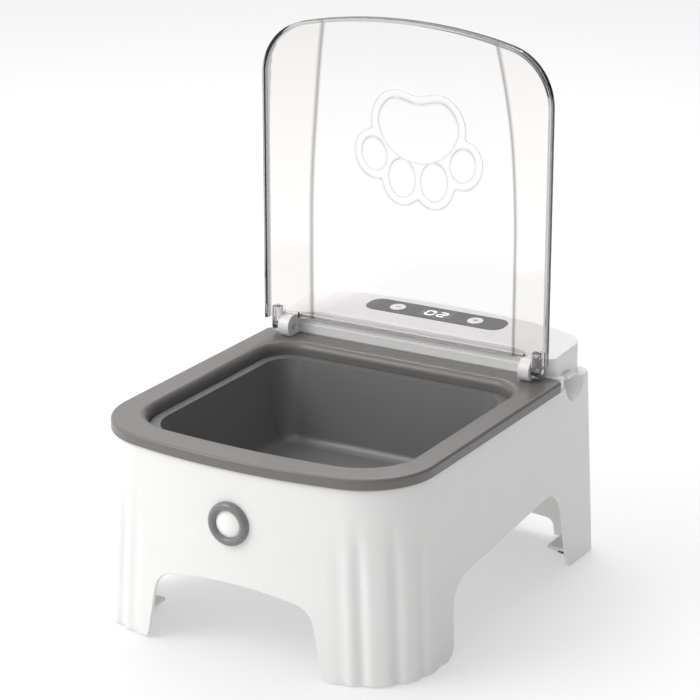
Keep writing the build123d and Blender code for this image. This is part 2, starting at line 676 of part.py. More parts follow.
def housing_form(inset, floor):
    """The housing's outside, moved inwards by an inset, standing on a floor."""
    with BuildPart() as form:
        plan = plan_outline(
            floor,
            housing_half - inset,
            housing_front + inset,
            0.0,
            housing_rear - inset,
            REAR_BOW,
            HOUSING_EDGE - inset,
            REAR_RADIUS - inset,
        )
        extrude(plan, amount=BODY_HEIGHT)
        split(bisect_by=panel_plane(inset), keep=Keep.BOTTOM)
        fillet(form.faces().sort_by(Axis.Z)[-1].edges(), HOUSING_EDGE - 1 - inset)
        split(bisect_by=fall_plane(-1, inset), keep=Keep.BOTTOM)
        split(bisect_by=fall_plane(1, inset), keep=Keep.BOTTOM)
    return form.part


with BuildPart() as rear_housing:
    add(housing_form(0, BODY_HEIGHT))
    # the bar that frames the rear ends of the rim
    with BuildSketch(Plane.XY.offset(BODY_HEIGHT)):
        with Locations((0, rim_rear + RIM_CLEARANCE + BAR_DEPTH / 2)):
            RectangleRounded(2 * (half_top - BAR_INSET), BAR_DEPTH, BAR_DEPTH * 0.4)
    extrude(amount=RIM_THICKNESS)
    # two low steps in the front face, above the bar
    for top, depth in zip(STEP_HEIGHTS, STEP_DEPTHS):
        with Locations((0, housing_front - depth, rim_top + RIM_CLEARANCE)):
            Box(
                2 * (housing_half - HOUSING_EDGE),
                depth + HOUSING_WALL / 2,
                BODY_HEIGHT + top - rim_top - RIM_CLEARANCE,
                align=(Align.CENTER, Align.MIN, Align.MIN),
            )
    # lugs that carry the hinge
    for side in (-1, 1):
        with BuildSketch(across(side * lug_x - LUG_WIDTH / 2, 0, 0)):
            with Locations((hinge_y, hinge_z)):
                Circle(lug_radius)
            with BuildLine():
                Polyline(
                    (hinge_y, hinge_z + lug_radius),
                    (housing_front + LUG_REACH, hinge_z + lug_radius - LUG_FALL),
                    (housing_front + LUG_REACH, hinge_z - lug_radius),
                    (hinge_y, hinge_z - lug_radius),
                    close=True,
                )
            make_face()
            with Locations((hinge_y, lug_floor)):
                Rectangle(
                    6 * lug_radius,
                    2 * lug_radius,
                    align=(Align.CENTER, Align.MAX),
                    mode=Mode.SUBTRACT,
                )
        extrude(amount=LUG_WIDTH)
    add(housing_form(HOUSING_WALL, BODY_HEIGHT - 1), mode=Mode.SUBTRACT)
    # the lugs are hollow and open below; the gears run in the left one
    for side in (-1, 1):
        with BuildSketch(across(side * lug_x - LUG_WIDTH / 2 + LUG_WALL, 0, 0)):
            with Locations((hinge_y, hinge_z)):
                Circle(lid_gear_tip + GEAR_ROOM)
            with Locations((idler_y, idler_z)):
                Circle(idler_radius + GEAR_MODULE + GEAR_ROOM)
            with Locations((hinge_y, hinge_z)):
                Rectangle(
                    idler_y + idler_radius + GEAR_MODULE + GEAR_ROOM - hinge_y,
                    2 * lug_radius,
                    align=(Align.MIN, Align.MAX),
                )
        extrude(amount=LUG_WIDTH - 2 * LUG_WALL, mode=Mode.SUBTRACT)
    with BuildSketch(across(-half_top, 0, 0)):
        with Locations((hinge_y, hinge_z)):
            Circle(bush_radius)
    extrude(amount=2 * half_top, mode=Mode.SUBTRACT)
    with BuildSketch(across(-lug_x - LUG_WIDTH / 2, 0, 0)):
        with Locations((idler_y, idler_z)):
            Circle(IDLER_PIN_DIAMETER / 2)
    extrude(amount=LUG_WIDTH, mode=Mode.SUBTRACT)
    # pocket and well for the grey strip
    with BuildSketch(strip_plane(strip_under)):
        RectangleRounded(
            STRIP_LENGTH + 2 * STRIP_CLEARANCE,
            STRIP_WIDTH + 2 * STRIP_CLEARANCE,
            STRIP_WIDTH * STRIP_ROUNDING,
        )
    extrude(amount=PAST, mode=Mode.SUBTRACT)
    with BuildSketch(strip_plane(2 * HOUSING_WALL)):
        RectangleRounded(
            STRIP_LENGTH - 2 * STRIP_LEDGE,
            STRIP_WIDTH - 2 * STRIP_LEDGE,
            STRIP_WIDTH * STRIP_ROUNDING - STRIP_LEDGE / 2,
        )
    extrude(amount=3 * HOUSING_WALL, mode=Mode.SUBTRACT)
    # bosses over the deck for the housing's screws
    with BuildSketch(Plane.XY.offset(BODY_HEIGHT)):
        with Locations(*housing_screws_at):
            Circle(BOSS_DIAMETER / 2)
            Circle(SCREW_DIAMETER / 2, mode=Mode.SUBTRACT)
    extrude(until=Until.NEXT)
    # small tab at the foot of the right side
    with Locations((housing_half - HOUSING_WALL / 2, dish_y, BODY_HEIGHT + TAB_RISE)):
        Box(
            TAB_SIZE[0] + HOUSING_WALL / 2,
            TAB_SIZE[1],
            TAB_SIZE[2],
            align=(Align.MIN, Align.CENTER, Align.MIN),
        )
rear_housing.part.label = "rear_housing"

# ---------------------------------------------------------------- lid
def lid_outline(y, inset, start):
    """The lid's plan, upright, at a distance along Y and moved inwards by an inset."""
    upright = Plane(origin=(0, y, hinge_z), x_dir=(-1, 0, 0), z_dir=(0, 1, 0))
    return outline_on(
        upright,
        lid_half - inset,
        start,
        0.0,
        lid_side_end - inset,
        FRONT_BOW,
        0.0,
        LID_CORNER - inset,
    )


def facet_plane(side, depth=0.0):
    """The lid's sloping facet on one side, lowered by a depth."""
    low = Vector(side * (lid_half - CREASE_INSET_HINGE), hinge_y + LID_BULGE, hinge_z + LID_START)
    high = Vector(side * (lid_half - CREASE_INSET_FREE), hinge_y + LID_BULGE, hinge_z + lid_reach)
    edge = Vector(side * lid_half, hinge_y - LID_EDGE_DROP, hinge_z + LID_START)
    along = (high - low).normalized()
    normal = along.cross(edge - low).normalized()
    if normal.Y < 0:
        normal = normal * -1
    return Plane(origin=low, x_dir=along, z_dir=normal).offset(-depth)


def fall_to_edge_plane(depth=0.0):
    """The plane of the middle panel where it falls towards the free edge, lowered by a depth."""
    low = Vector(0, hinge_y + LID_BULGE, hinge_z + lid_reach - LID_FALL_LENGTH)
    high = Vector(0, hinge_y + LID_FREE_HEIGHT, hinge_z + lid_reach)
    along = (high - low).normalized()
    return Plane(origin=low, x_dir=(1, 0, 0), z_dir=along.cross(Vector(1, 0, 0))).offset(-depth)


def lid_form(inset, start):
    """The lid's outside, moved inwards by an inset."""
    with BuildPart() as form:
        extrude(lid_outline(hinge_y - LID_SKIRT, inset, start), amount=LID_SKIRT + LID_BULGE - inset)
        split(bisect_by=facet_plane(-1, inset), keep=Keep.BOTTOM)
        split(bisect_by=facet_plane(1, inset), keep=Keep.BOTTOM)
        split(bisect_by=fall_to_edge_plane(inset), keep=Keep.BOTTOM)
    return form.part


with BuildPart() as lid:
    add(lid_form(0, LID_START))
    add(lid_form(LID_WALL, -LID_START), mode=Mode.SUBTRACT)
    # room for the lugs
    notch_width = EAR_GAP + LUG_WIDTH + LUG_CLEARANCE
    notch_x = ear_x - EAR_WIDTH / 2 - notch_width / 2
    with Locations((-notch_x, hinge_y, hinge_z), (notch_x, hinge_y, hinge_z)):
        Box(
            notch_width,
            4 * LID_BULGE,
            2 * (lug_radius + LUG_CLEARANCE),
            mode=Mode.SUBTRACT,
        )
    # ears around the hinge axis
    for side in (-1, 1):
        with BuildSketch(across(side * ear_x - EAR_WIDTH / 2, hinge_y, hinge_z)):
            Circle(EAR_RADIUS)
            with Locations((-EAR_RADIUS, 0)):
                Rectangle(EAR_RADIUS + LID_WALL, EAR_HEIGHT, align=(Align.MIN, Align.MIN))
        extrude(amount=EAR_WIDTH)
    with BuildSketch(across(-half_top, hinge_y, hinge_z)):
        Circle(SHAFT_DIAMETER / 2)
    extrude(amount=2 * half_top, mode=Mode.SUBTRACT)
lid.part.label = "lid"

# ---------------------------------------------------------------- hinge and drive train
shaft_end = ear_x + EAR_WIDTH / 2 + SHAFT_OVERRUN
shaft_start = lug_x - LUG_WIDTH / 2 - SHAFT_INRUN


def rod(x_from, x_to, y, z, radius):
    """A round rod along X."""
    with BuildPart() as piece:
        with BuildSketch(across(x_from, y, z)):
            Circle(radius)
        extrude(amount=x_to - x_from)
        chamfer(piece.edges(), min(0.3, radius / 5))
    return piece.part


with BuildPart() as drive_shaft:
    add(rod(-shaft_end, -shaft_start, hinge_y, hinge_z, SHAFT_DIAMETER / 2))
drive_shaft.part.label = "drive_shaft"

with BuildPart() as hinge_pin:
    add(rod(shaft_start, shaft_end, hinge_y, hinge_z, SHAFT_DIAMETER / 2))
hinge_pin.part.label = "hinge_pin"

bush_faces = [
    x
    for side in (-1, 1)
    for x in (side * lug_x - LUG_WIDTH / 2, side * lug_x + LUG_WIDTH / 2 - LUG_WALL)
]
with BuildPart() as hinge_bushes:
    for face in bush_faces:
        with BuildSketch(across(face, hinge_y, hinge_z)):
            Circle(bush_radius)
            Circle(SHAFT_DIAMETER / 2 + SHAFT_CLEARANCE, mode=Mode.SUBTRACT)
        extrude(amount=LUG_WALL)
hinge_bushes.part.label = "hinge_bushes"


def involute(base, radius):
    """How far an involute has turned where it reaches a radius, in degrees."""
    pressure = acos(min(1.0, base / radius))
    return degrees(sin(pressure) / cos(pressure) - pressure)


def gear(teeth, bore, place, first_tooth):
    """A spur gear across X with one tooth at an angle above +Y."""
    pitch = GEAR_MODULE * teeth / 2
    base = pitch * cos(radians(PRESSURE_ANGLE))
    tip = pitch + GEAR_MODULE
    root = pitch - 1.25 * GEAR_MODULE
    half_tooth = 90 / teeth - degrees(GEAR_BACKLASH / 2 / pitch)
    at_pitch = involute(base, pitch)
    start = max(base, root)
    flank = []
    for radius in (start, (start + tip) / 2, tip):
        flank.append((radius, half_tooth + at_pitch - involute(base, radius)))
    right = [(r * cos(radians(a)), -r * sin(radians(a))) for r, a in flank]
    left = [(x, -y) for x, y in right]
    inner = (root - GEAR_MODULE / 2) * cos(radians(flank[0][1]))
    with BuildPart() as piece:
        with BuildSketch(across(-lug_x - GEAR_FACE / 2, *place)):
            Circle(root)
            with BuildSketch(mode=Mode.PRIVATE) as tooth:
                with BuildLine():
                    ThreePointArc(*right)
                    ThreePointArc(right[2], (tip, 0), left[2])
                    ThreePointArc(*reversed(left))
                    Polyline(left[0], (inner, left[0][1]), (inner, right[0][1]), right[0])
                make_face()
            for number in range(teeth):
                add(tooth.sketch.rotate(Axis.Z, first_tooth + number * 360 / teeth))
            Circle(bore / 2, mode=Mode.SUBTRACT)
        extrude(amount=GEAR_FACE)
    return piece.part


def meshing_tooth(driver_tooth, driver_teeth, follower_teeth, direction):
    """The angle of a follower's tooth that meshes with its driver, along a direction."""
    pitch = 360 / driver_teeth
    lead = (driver_tooth - direction + pitch / 2) % pitch - pitch / 2
    gap = direction + 180 - lead * driver_teeth / follower_teeth
    return gap + 180 / follower_teeth


idler_tooth = meshing_tooth(0, LID_GEAR_TEETH, IDLER_TEETH, IDLER_DIRECTION)
pinion_tooth = meshing_tooth(idler_tooth, IDLER_TEETH, PINION_TEETH, PINION_DIRECTION)

with BuildPart() as lid_gear:
    add(gear(LID_GEAR_TEETH, SHAFT_DIAMETER, (hinge_y, hinge_z), 0))
lid_gear.part.label = "lid_gear"

with BuildPart() as idler_gear:
    bore = IDLER_PIN_DIAMETER + 2 * SHAFT_CLEARANCE
    add(gear(IDLER_TEETH, bore, (idler_y, idler_z), idler_tooth))
idler_gear.part.label = "idler_gear"

with BuildPart() as idler_pin:
    pin_from = -lug_x - LUG_WIDTH / 2 + LUG_WALL / 4
    pin_to = -lug_x + LUG_WIDTH / 2
    add(rod(pin_from, pin_to, idler_y, idler_z, IDLER_PIN_DIAMETER / 2))
idler_pin.part.label = "idler_pin"

with BuildPart() as motor_pinion:
    add(gear(PINION_TEETH, MOTOR_SHAFT_DIAMETER, (pinion_y, pinion_z), pinion_tooth))
motor_pinion.part.label = "motor_pinion"

with BuildPart() as motor_shaft:
    shaft_from = -lug_x - GEAR_FACE / 2 - GEAR_GAP / 3
    shaft_to = gearbox_x + GEARBOX_BORE_DEPTH - 1
    add(rod(shaft_from, shaft_to, pinion_y, pinion_z, MOTOR_SHAFT_DIAMETER / 2))
motor_shaft.part.label = "motor_shaft"

with BuildPart() as drive_bracket:
    with Locations((bracket_x, pinion_y, BODY_HEIGHT)):
        Box(
            BRACKET_WALL,
            GEARBOX_DEPTH,
            pinion_z + GEARBOX_HEIGHT / 2 - BODY_HEIGHT,
            align=(Align.MIN, Align.CENTER, Align.MIN),
        )
        Box(
            BRACKET_FOOT_LENGTH,
            GEARBOX_DEPTH,
            BRACKET_FOOT,
            align=(Align.MIN, Align.CENTER, Align.MIN),
        )
    with BuildSketch(across(bracket_x, pinion_y, pinion_z)):
        Circle(MOTOR_SHAFT_DIAMETER / 2 + 10 * SHAFT_CLEARANCE)
    extrude(amount=BRACKET_WALL, mode=Mode.SUBTRACT)
    with Locations((0, 0, BODY_HEIGHT)):
        with Locations(*bracket_screws_at):
            Cylinder(BRACKET_SCREW / 2, 3 * BRACKET_FOOT, mode=Mode.SUBTRACT)
drive_bracket.part.label = "drive_bracket"

with BuildPart() as gearbox:
    with Locations((gearbox_x, pinion_y, pinion_z)):
        Box(
            GEARBOX_LENGTH,
            GEARBOX_DEPTH,
            GEARBOX_HEIGHT,
            align=(Align.MIN, Align.CENTER, Align.CENTER),
        )
    fillet(gearbox.edges().filter_by(Axis.X), GEARBOX_EDGE)
    with BuildSketch(across(gearbox_x, pinion_y, pinion_z)):
        Circle(MOTOR_SHAFT_DIAMETER / 2 + SHAFT_CLEARANCE)
    extrude(amount=GEARBOX_BORE_DEPTH, mode=Mode.SUBTRACT)
gearbox.part.label = "gearbox"

with BuildPart() as motor_can:
    with BuildSketch(across(gearbox_x + GEARBOX_LENGTH, pinion_y, pinion_z)):
        Circle(MOTOR_DIAMETER / 2)
        Rectangle(MOTOR_FLAT, 2 * MOTOR_DIAMETER, mode=Mode.INTERSECT)
    extrude(amount=MOTOR_LENGTH)
    with BuildSketch(across(gearbox_x + GEARBOX_LENGTH + MOTOR_LENGTH, pinion_y, pinion_z)):
        Circle(MOTOR_BOSS_DIAMETER / 2)
    extrude(amount=MOTOR_BOSS_LENGTH)
motor_can.part.label = "motor_can"

# ---------------------------------------------------------------- control strip and its board
with BuildPart() as control_strip:
    with BuildSketch(strip_plane(strip_under)):
        RectangleRounded(STRIP_LENGTH, STRIP_WIDTH, STRIP_WIDTH * STRIP_ROUNDING)
        with Locations((-BUTTON_SPACING / 2, 0), (BUTTON_SPACING / 2, 0)):
            Circle(BUTTON_DIAMETER / 2 + BUTTON_CLEARANCE, mode=Mode.SUBTRACT)
        Rectangle(WINDOW_LENGTH, WINDOW_WIDTH, mode=Mode.SUBTRACT)
    extrude(amount=STRIP_THICKNESS)
control_strip.part.label = "control_strip"

with BuildPart() as display_window:
    with BuildSketch(strip_plane(strip_under)):
        Rectangle(WINDOW_LENGTH, WINDOW_WIDTH)
    extrude(amount=STRIP_THICKNESS)
display_window.part.label = "display_window"

with BuildPart() as display_module:
    with BuildSketch(strip_plane(BOARD_DEPTH)):
        Rectangle(WINDOW_LENGTH - WINDOW_MARGIN, WINDOW_WIDTH - WINDOW_MARGIN)
    extrude(amount=BOARD_DEPTH - strip_under - WINDOW_MARGIN)
display_module.part.label = "display_module"

flange_top = strip_under + BUTTON_FLANGE_GAP
flange_bottom = flange_top + BUTTON_FLANGE_THICKNESS
switch_top = flange_bottom + BUTTON_STEM_LENGTH


def button(x):
    """A round key with a retaining flange under the strip and a stem to its switch."""
    with BuildPart() as piece:
        for bottom, top, diameter in (
            (flange_top, -BUTTON_PROUD, BUTTON_DIAMETER),
            (flange_bottom, flange_top, BUTTON_FLANGE),
            (switch_top, flange_bottom, BUTTON_STEM),
        ):
            with BuildSketch(strip_plane(bottom)):
                with Locations((x, 0)):
                    Circle(diameter / 2)
            extrude(amount=bottom - top)
            if diameter == BUTTON_DIAMETER:
                fillet(piece.faces().sort_by(Axis.Z)[-1].edges(), BUTTON_EDGE)
    return piece.part


with BuildPart() as mode_button:
    add(button(-BUTTON_SPACING / 2))
mode_button.part.label = "mode_button"

with BuildPart() as plus_button:
    add(button(BUTTON_SPACING / 2))
plus_button.part.label = "plus_button"

with BuildPart() as tact_switches:
    switch_roof = switch_top + BUTTON_TRAVEL + SWITCH_GAP + PLUNGER_HEIGHT
    with BuildSketch(strip_plane(BOARD_DEPTH)):
        with Locations((-BUTTON_SPACING / 2, 0), (BUTTON_SPACING / 2, 0)):
            Rectangle(SWITCH_SIZE, SWITCH_SIZE)
    extrude(amount=BOARD_DEPTH - switch_roof)
    with BuildSketch(strip_plane(switch_roof)):
        with Locations((-BUTTON_SPACING / 2, 0), (BUTTON_SPACING / 2, 0)):
            Circle(PLUNGER_DIAMETER / 2)
    extrude(amount=PLUNGER_HEIGHT)
tact_switches.part.label = "tact_switches"

with BuildPart() as control_board:
    with BuildSketch(strip_plane(BOARD_DEPTH + BOARD_THICKNESS)):
        RectangleRounded(BOARD_LENGTH, BOARD_WIDTH, BOARD_CORNER)
    extrude(amount=BOARD_THICKNESS)
control_board.part.label = "control_board"

# ---------------------------------------------------------------- sensor
bezel_outer = BEZEL_DIAMETER / 2
lens_radius = LENS_DIAMETER / 2
barrel_radius = BARREL_DIAMETER / 2
bezel_front = sensor_y - BEZEL_PROUD
barrel_back = bezel_seat + BARREL_LENGTH
barrel_bore = barrel_radius - BARREL_WALL
shoulder = bezel_seat + BARREL_STEP
sensor_axis = Axis((0, 0, sensor_height), (0, 1, 0))
dome_radius = (lens_radius**2 + LENS_SAG**2) / (2 * LENS_SAG)
dome_angle = atan2(lens_radius, dome_radius - LENS_SAG)
dome_front = bezel_front + LENS_SETBACK
dome_middle = (
    dome_front + dome_radius * (1 - cos(dome_angle / 2)),
    dome_radius * sin(dome_angle / 2),
)


def turned(*profile):
    """A closed polygon of (y, radius) points turned about the sensor's axis."""
    with BuildPart() as piece:
        with BuildSketch(across(0, 0, sensor_height)):
            with BuildLine():
                Polyline(*profile, close=True)
            make_face()
        revolve(axis=sensor_axis)
    return piece.part


crown = (bezel_front, (bezel_outer + lens_radius + LENS_SETBACK) / 2)
bezel_side = (bezel_front + BEZEL_SIDE, bezel_outer)
bezel_throat = (bezel_front + BEZEL_THROAT, lens_radius + LENS_CLEARANCE)


def ring_point(depth, end):
    """The middle of the quarter ellipse from the ring's crown to an end that lies a depth back."""
    spread = end[1] - crown[1]
    return (bezel_front + depth * (1 - sin(pi / 4)), crown[1] + spread * sin(pi / 4))


with BuildPart() as sensor_bezel:
    with BuildSketch(across(0, 0, sensor_height)):
        with BuildLine():
            Polyline(
                bezel_throat,
                (shoulder, lens_radius + LENS_CLEARANCE),
                (shoulder, barrel_bore),
                (barrel_back, barrel_bore),
                (barrel_back, barrel_radius),
                (bezel_seat, barrel_radius),
                (bezel_seat, bezel_outer),
                bezel_side,
            )
            ThreePointArc(bezel_side, ring_point(BEZEL_SIDE, bezel_side), crown)
            ThreePointArc(crown, ring_point(BEZEL_THROAT, bezel_throat), bezel_throat)
        make_face()
    revolve(axis=sensor_axis)
sensor_bezel.part.label = "sensor_bezel"

lens_back = shoulder + LENS_FLANGE
flange_radius = barrel_bore - 2 * LENS_CLEARANCE
with BuildPart() as sensor_lens:
    with BuildSketch(across(0, 0, sensor_height)):
        with BuildLine():
            Polyline(
                (dome_front, 0),
                (lens_back, 0),
                (lens_back, flange_radius),
                (shoulder, flange_radius),
                (shoulder, lens_radius),
                (dome_front + LENS_SAG, lens_radius),
            )
            ThreePointArc((dome_front + LENS_SAG, lens_radius), dome_middle, (dome_front, 0))
        make_face()
    revolve(axis=sensor_axis)
sensor_lens.part.label = "sensor_lens"

with BuildPart() as bezel_nut:
    nut_front = sensor_y + WALL + NUT_GAP
    nut_back = nut_front + NUT_THICKNESS
    nut_radius = barrel_radius + NUT_THICKNESS
    add(
        turned(
            (nut_front, barrel_radius),
            (nut_back, barrel_radius),
            (nut_back, nut_radius),
            (nut_front, nut_radius),
        )
    )
bezel_nut.part.label = "bezel_nut"

board_front = barrel_back - SENSOR_BOARD_INSET
can_front = lens_back + LENS_FLANGE / 2
can_radius = SENSOR_CAN_DIAMETER / 2
with BuildPart() as sensor_can:
    add(turned((can_front, 0), (board_front, 0), (board_front, can_radius), (can_front, can_radius)))
sensor_can.part.label = "sensor_can"

with BuildPart() as sensor_board:
    add(
        turned(
            (board_front, 0),
            (board_front + BOARD_THICKNESS, 0),
            (board_front + BOARD_THICKNESS, barrel_bore),
            (board_front, barrel_bore),
        )
    )
sensor_board.part.label = "sensor_board"

# ---------------------------------------------------------------- base plate and battery bay
bay_half = CELL_LENGTH + SPRING_SPACE
bay_depth = 2 * CELL_DIAMETER + 3 * CELL_GAP
bay_rear = body_rear - BATTERY_BACK_GAP
bay_y = bay_rear - bay_depth / 2
cell_z = base_height + CELL_GAP + CELL_DIAMETER / 2
case_roof = cell_z + CELL_DIAMETER / 2 + CASE_GAP
door_top = base_height - DOOR_CLEARANCE
door_half = bay_half + DOOR_OVERLAP
door_depth = bay_depth + 2 * DOOR_OVERLAP
rail_bottom = door_top - DOOR_THICKNESS - DOOR_CLEARANCE - RAIL_THICKNESS

with BuildPart() as base_plate:
    extrude(body_outline(base_height, WALL + BASE_CLEARANCE), amount=BASE_THICKNESS)
    down = (Align.CENTER, Align.CENTER, Align.MAX)
    pocket_radius = SCREW_HEAD_DIAMETER / 2 + HEAD_CLEARANCE
    with Locations((0, 0, base_height)):
        with Locations(*base_screws_at):
            Cylinder(pocket_radius + POCKET_WALL, HEAD_POCKET, align=down)
            Cylinder(SCREW_DIAMETER / 2, 4 * BASE_THICKNESS, mode=Mode.SUBTRACT)
            Cylinder(pocket_radius, HEAD_POCKET, align=down, mode=Mode.SUBTRACT)
    with Locations((0, bay_y, base_height)):
        Box(2 * bay_half, bay_depth, 4 * BASE_THICKNESS, mode=Mode.SUBTRACT)
    # rails that carry the battery door
    rail_z = (rail_bottom + base_height) / 2
    for side in (-1, 1):
        with Locations((side * (door_half + DOOR_CLEARANCE + RAIL_WIDTH / 2), bay_y, rail_z)):
            Box(RAIL_WIDTH, door_depth, base_height - rail_bottom)
        with Locations((side * (door_half + DOOR_CLEARANCE), bay_y, rail_bottom)):
            Box(
                2 * RAIL_REACH,
                door_depth,
                RAIL_THICKNESS,
                align=(Align.CENTER, Align.CENTER, Align.MIN),
            )
base_plate.part.label = "base_plate"

with BuildPart() as battery_door:
    with Locations((0, bay_y, door_top)):
        Box(
            2 * door_half,
            door_depth,
            DOOR_THICKNESS,
            align=(Align.CENTER, Align.CENTER, Align.MAX),
        )
    with Locations((0, bay_y, door_top - DOOR_THICKNESS)):
        with GridLocations(0, DOOR_GRIP_PITCH, 1, DOOR_GRIPS):
            Box(
                DOOR_GRIP_SIZE[0],
                DOOR_GRIP_SIZE[1],
                2 * DOOR_GRIP_SIZE[2],
                mode=Mode.SUBTRACT,
            )
battery_door.part.label = "battery_door"

with BuildPart() as battery_case:
    with Locations((0, bay_y, base_top)):
        Box(
            2 * (bay_half + CASE_WALL),
            bay_depth + 2 * CASE_WALL,
            case_roof + CASE_WALL - base_top,
            align=(Align.CENTER, Align.CENTER, Align.MIN),
        )
        Box(
            2 * bay_half,
            bay_depth,
            2 * (case_roof - base_top),
            mode=Mode.SUBTRACT,
        )
battery_case.part.label = "battery_case"

cell_rows = [bay_y + side * (CELL_DIAMETER + CELL_GAP) / 2 for side in (-1, 1)]
with BuildPart() as battery_cells:
    for row in cell_rows:
        for start in (-CELL_LENGTH - CELL_GAP / 6, CELL_GAP / 6):
            shoulder_x = start + CELL_LENGTH - CELL_TIP_LENGTH
            add(rod(start, shoulder_x, row, cell_z, CELL_DIAMETER / 2))
            with BuildSketch(across(shoulder_x, row, cell_z)):
                Circle(CELL_TIP_DIAMETER / 2)
            extrude(amount=CELL_TIP_LENGTH - CELL_GAP / 3)
battery_cells.part.label = "battery_cells"

with BuildPart() as battery_contacts:
    for row in cell_rows:
        for side in (-1, 1):
            with Locations((side * (bay_half - CONTACT_THICKNESS / 2), row, cell_z)):
                Box(CONTACT_THICKNESS, CELL_DIAMETER - CONTACT_INSET, CELL_DIAMETER - CONTACT_INSET)
    for row in cell_rows:
        with BuildSketch(across(-bay_half + CONTACT_THICKNESS, row, cell_z)):
            Circle(SPRING_DIAMETERS[0] / 2)
            Circle(SPRING_DIAMETERS[1] / 2, mode=Mode.SUBTRACT)
        extrude(amount=SPRING_SPACE - CONTACT_THICKNESS - CELL_GAP / 3)
battery_contacts.part.label = "battery_contacts"

# ---------------------------------------------------------------- charging inlet
inlet_face = usb_wall_y - INLET_SETBACK

with BuildPart() as usb_socket:
    with BuildSketch(Plane.XZ.offset(-inlet_face)):
        with Locations((USB_OFFSET, usb_z)):
            SlotOverall(USB_WIDTH, USB_HEIGHT)
    extrude(amount=USB_LENGTH)
    with BuildSketch(Plane.XZ.offset(-inlet_face)):
        with Locations((USB_OFFSET, usb_z)):
            SlotOverall(USB_WIDTH - 2 * USB_WALL, USB_HEIGHT - 2 * USB_WALL)
    extrude(amount=USB_LENGTH - 2 * USB_WALL, mode=Mode.SUBTRACT)
    with Locations((USB_OFFSET, inlet_face - USB_LENGTH, usb_z)):
        Box(*USB_TONGUE, align=(Align.CENTER, Align.MIN, Align.CENTER))
usb_socket.part.label = "usb_socket"

with BuildPart() as power_board:
    with Locations((USB_OFFSET, usb_wall_y - WALL - POWER_BOARD_GAP, usb_shelf_top)):
        Box(*POWER_BOARD_SIZE, BOARD_THICKNESS, align=(Align.CENTER, Align.MAX, Align.MIN))
power_board.part.label = "power_board"

# ---------------------------------------------------------------- feet and fasteners
front_pad = (half_floor - FRONT_PAD_INSET[0], floor_front + FRONT_PAD_INSET[1])
rear_pad = (
    half_floor - WALL - PAD_DIAMETER / 2 - REAR_PAD_INSET[0],
    body_rear - WALL - PAD_DIAMETER / 2 - REAR_PAD_INSET[1],
)
pads_at = [(side * x, y) for side in (-1, 1) for x, y in (front_pad, rear_pad)]

with BuildPart() as rubber_feet:
    with BuildSketch(Plane.XY):
        with Locations(*pads_at):
            Circle(PAD_DIAMETER / 2)
    extrude(amount=PAD_HEIGHT)
    fillet(rubber_feet.faces().group_by(Axis.Z)[0].edges(), PAD_EDGE)
rubber_feet.part.label = "rubber_feet"


def screws(places, head_top, length, radius, head_radius, head_height, upwards=True):
    """Pan-head screws along Z; their heads' bearing faces are at one height."""
    way = 1 if upwards else -1
    with BuildPart() as group:
        for x, y in places:
            with BuildSketch(Plane((x, y, head_top - way * head_height), z_dir=(0, 0, 1))):
                Circle(head_radius)
            extrude(amount=way * head_height)
            with BuildSketch(Plane((x, y, head_top), z_dir=(0, 0, 1))):
                Circle(radius)
            extrude(amount=way * length)
            with BuildSketch(Plane((x, y, head_top - way * head_height), z_dir=(0, 0, 1))):
                Rectangle(head_radius, head_radius / 4)
                Rectangle(head_radius / 4, head_radius)
            extrude(amount=way * head_height / 2, mode=Mode.SUBTRACT)
    return group.part


screw_sizes = (SCREW_DIAMETER / 2, SCREW_HEAD_DIAMETER / 2, SCREW_HEAD_HEIGHT)
with BuildPart() as base_screws:
    add(screws(base_screws_at, base_height, BASE_SCREW_LENGTH, *screw_sizes))
base_screws.part.label = "base_screws"

with BuildPart() as rim_screws:
    add(screws(rim_screws_at, deck_bottom, WALL + RIM_SCREW_GRIP, *screw_sizes))
rim_screws.part.label = "rim_screws"

with BuildPart() as housing_screws:
    add(screws(housing_screws_at, deck_bottom, WALL + HOUSING_SCREW_GRIP, *screw_sizes))
housing_screws.part.label = "housing_screws"

with BuildPart() as bracket_screws:
    add(
        screws(
            bracket_screws_at,
            BODY_HEIGHT + BRACKET_FOOT,
            BRACKET_FOOT + WALL - BRACKET_SCREW_GAP,
            BRACKET_SCREW / 2,
            BRACKET_SCREW * 0.95,
            BRACKET_SCREW * 0.6,
            upwards=False,
        )
    )
bracket_screws.part.label = "bracket_screws"

# ---------------------------------------------------------------- files
os.makedirs("parts", exist_ok=True)
for piece in (
    body_shell,
    leg_caps,
    bowl_frame,
    bowl,
    rear_housing,
    lid,
    drive_shaft,
    hinge_pin,
    hinge_bushes,
    lid_gear,
    idler_gear,
    idler_pin,
    motor_pinion,
    motor_shaft,
    drive_bracket,
    gearbox,
    motor_can,
    control_strip,
    display_window,
    display_module,
    mode_button,
    plus_button,
    tact_switches,
    control_board,
    sensor_bezel,
    sensor_lens,
    bezel_nut,
    sensor_can,
    sensor_board,
    base_plate,
    battery_door,
    battery_case,
    battery_cells,
    battery_contacts,
    usb_socket,
    power_board,
    rubber_feet,
    base_screws,
    rim_screws,
    housing_screws,
    bracket_screws,
):
    export_step(piece.part, f"parts/{piece.part.label}.step")
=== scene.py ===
"""Automatic pet feeder: the finished outside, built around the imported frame.

The shell and the clear lid are modelled here as smooth meshes, the small details that the frame
leaves out are added, and every part gets its own finish. All sizes are in metres in the meshes
and in millimetres in the fields, and every place is worked out from the frame.
"""

import json
import logging
from dataclasses import dataclass, field
from enum import Enum
from math import cos, pi, radians, sin, tan
from typing import Optional, Sequence

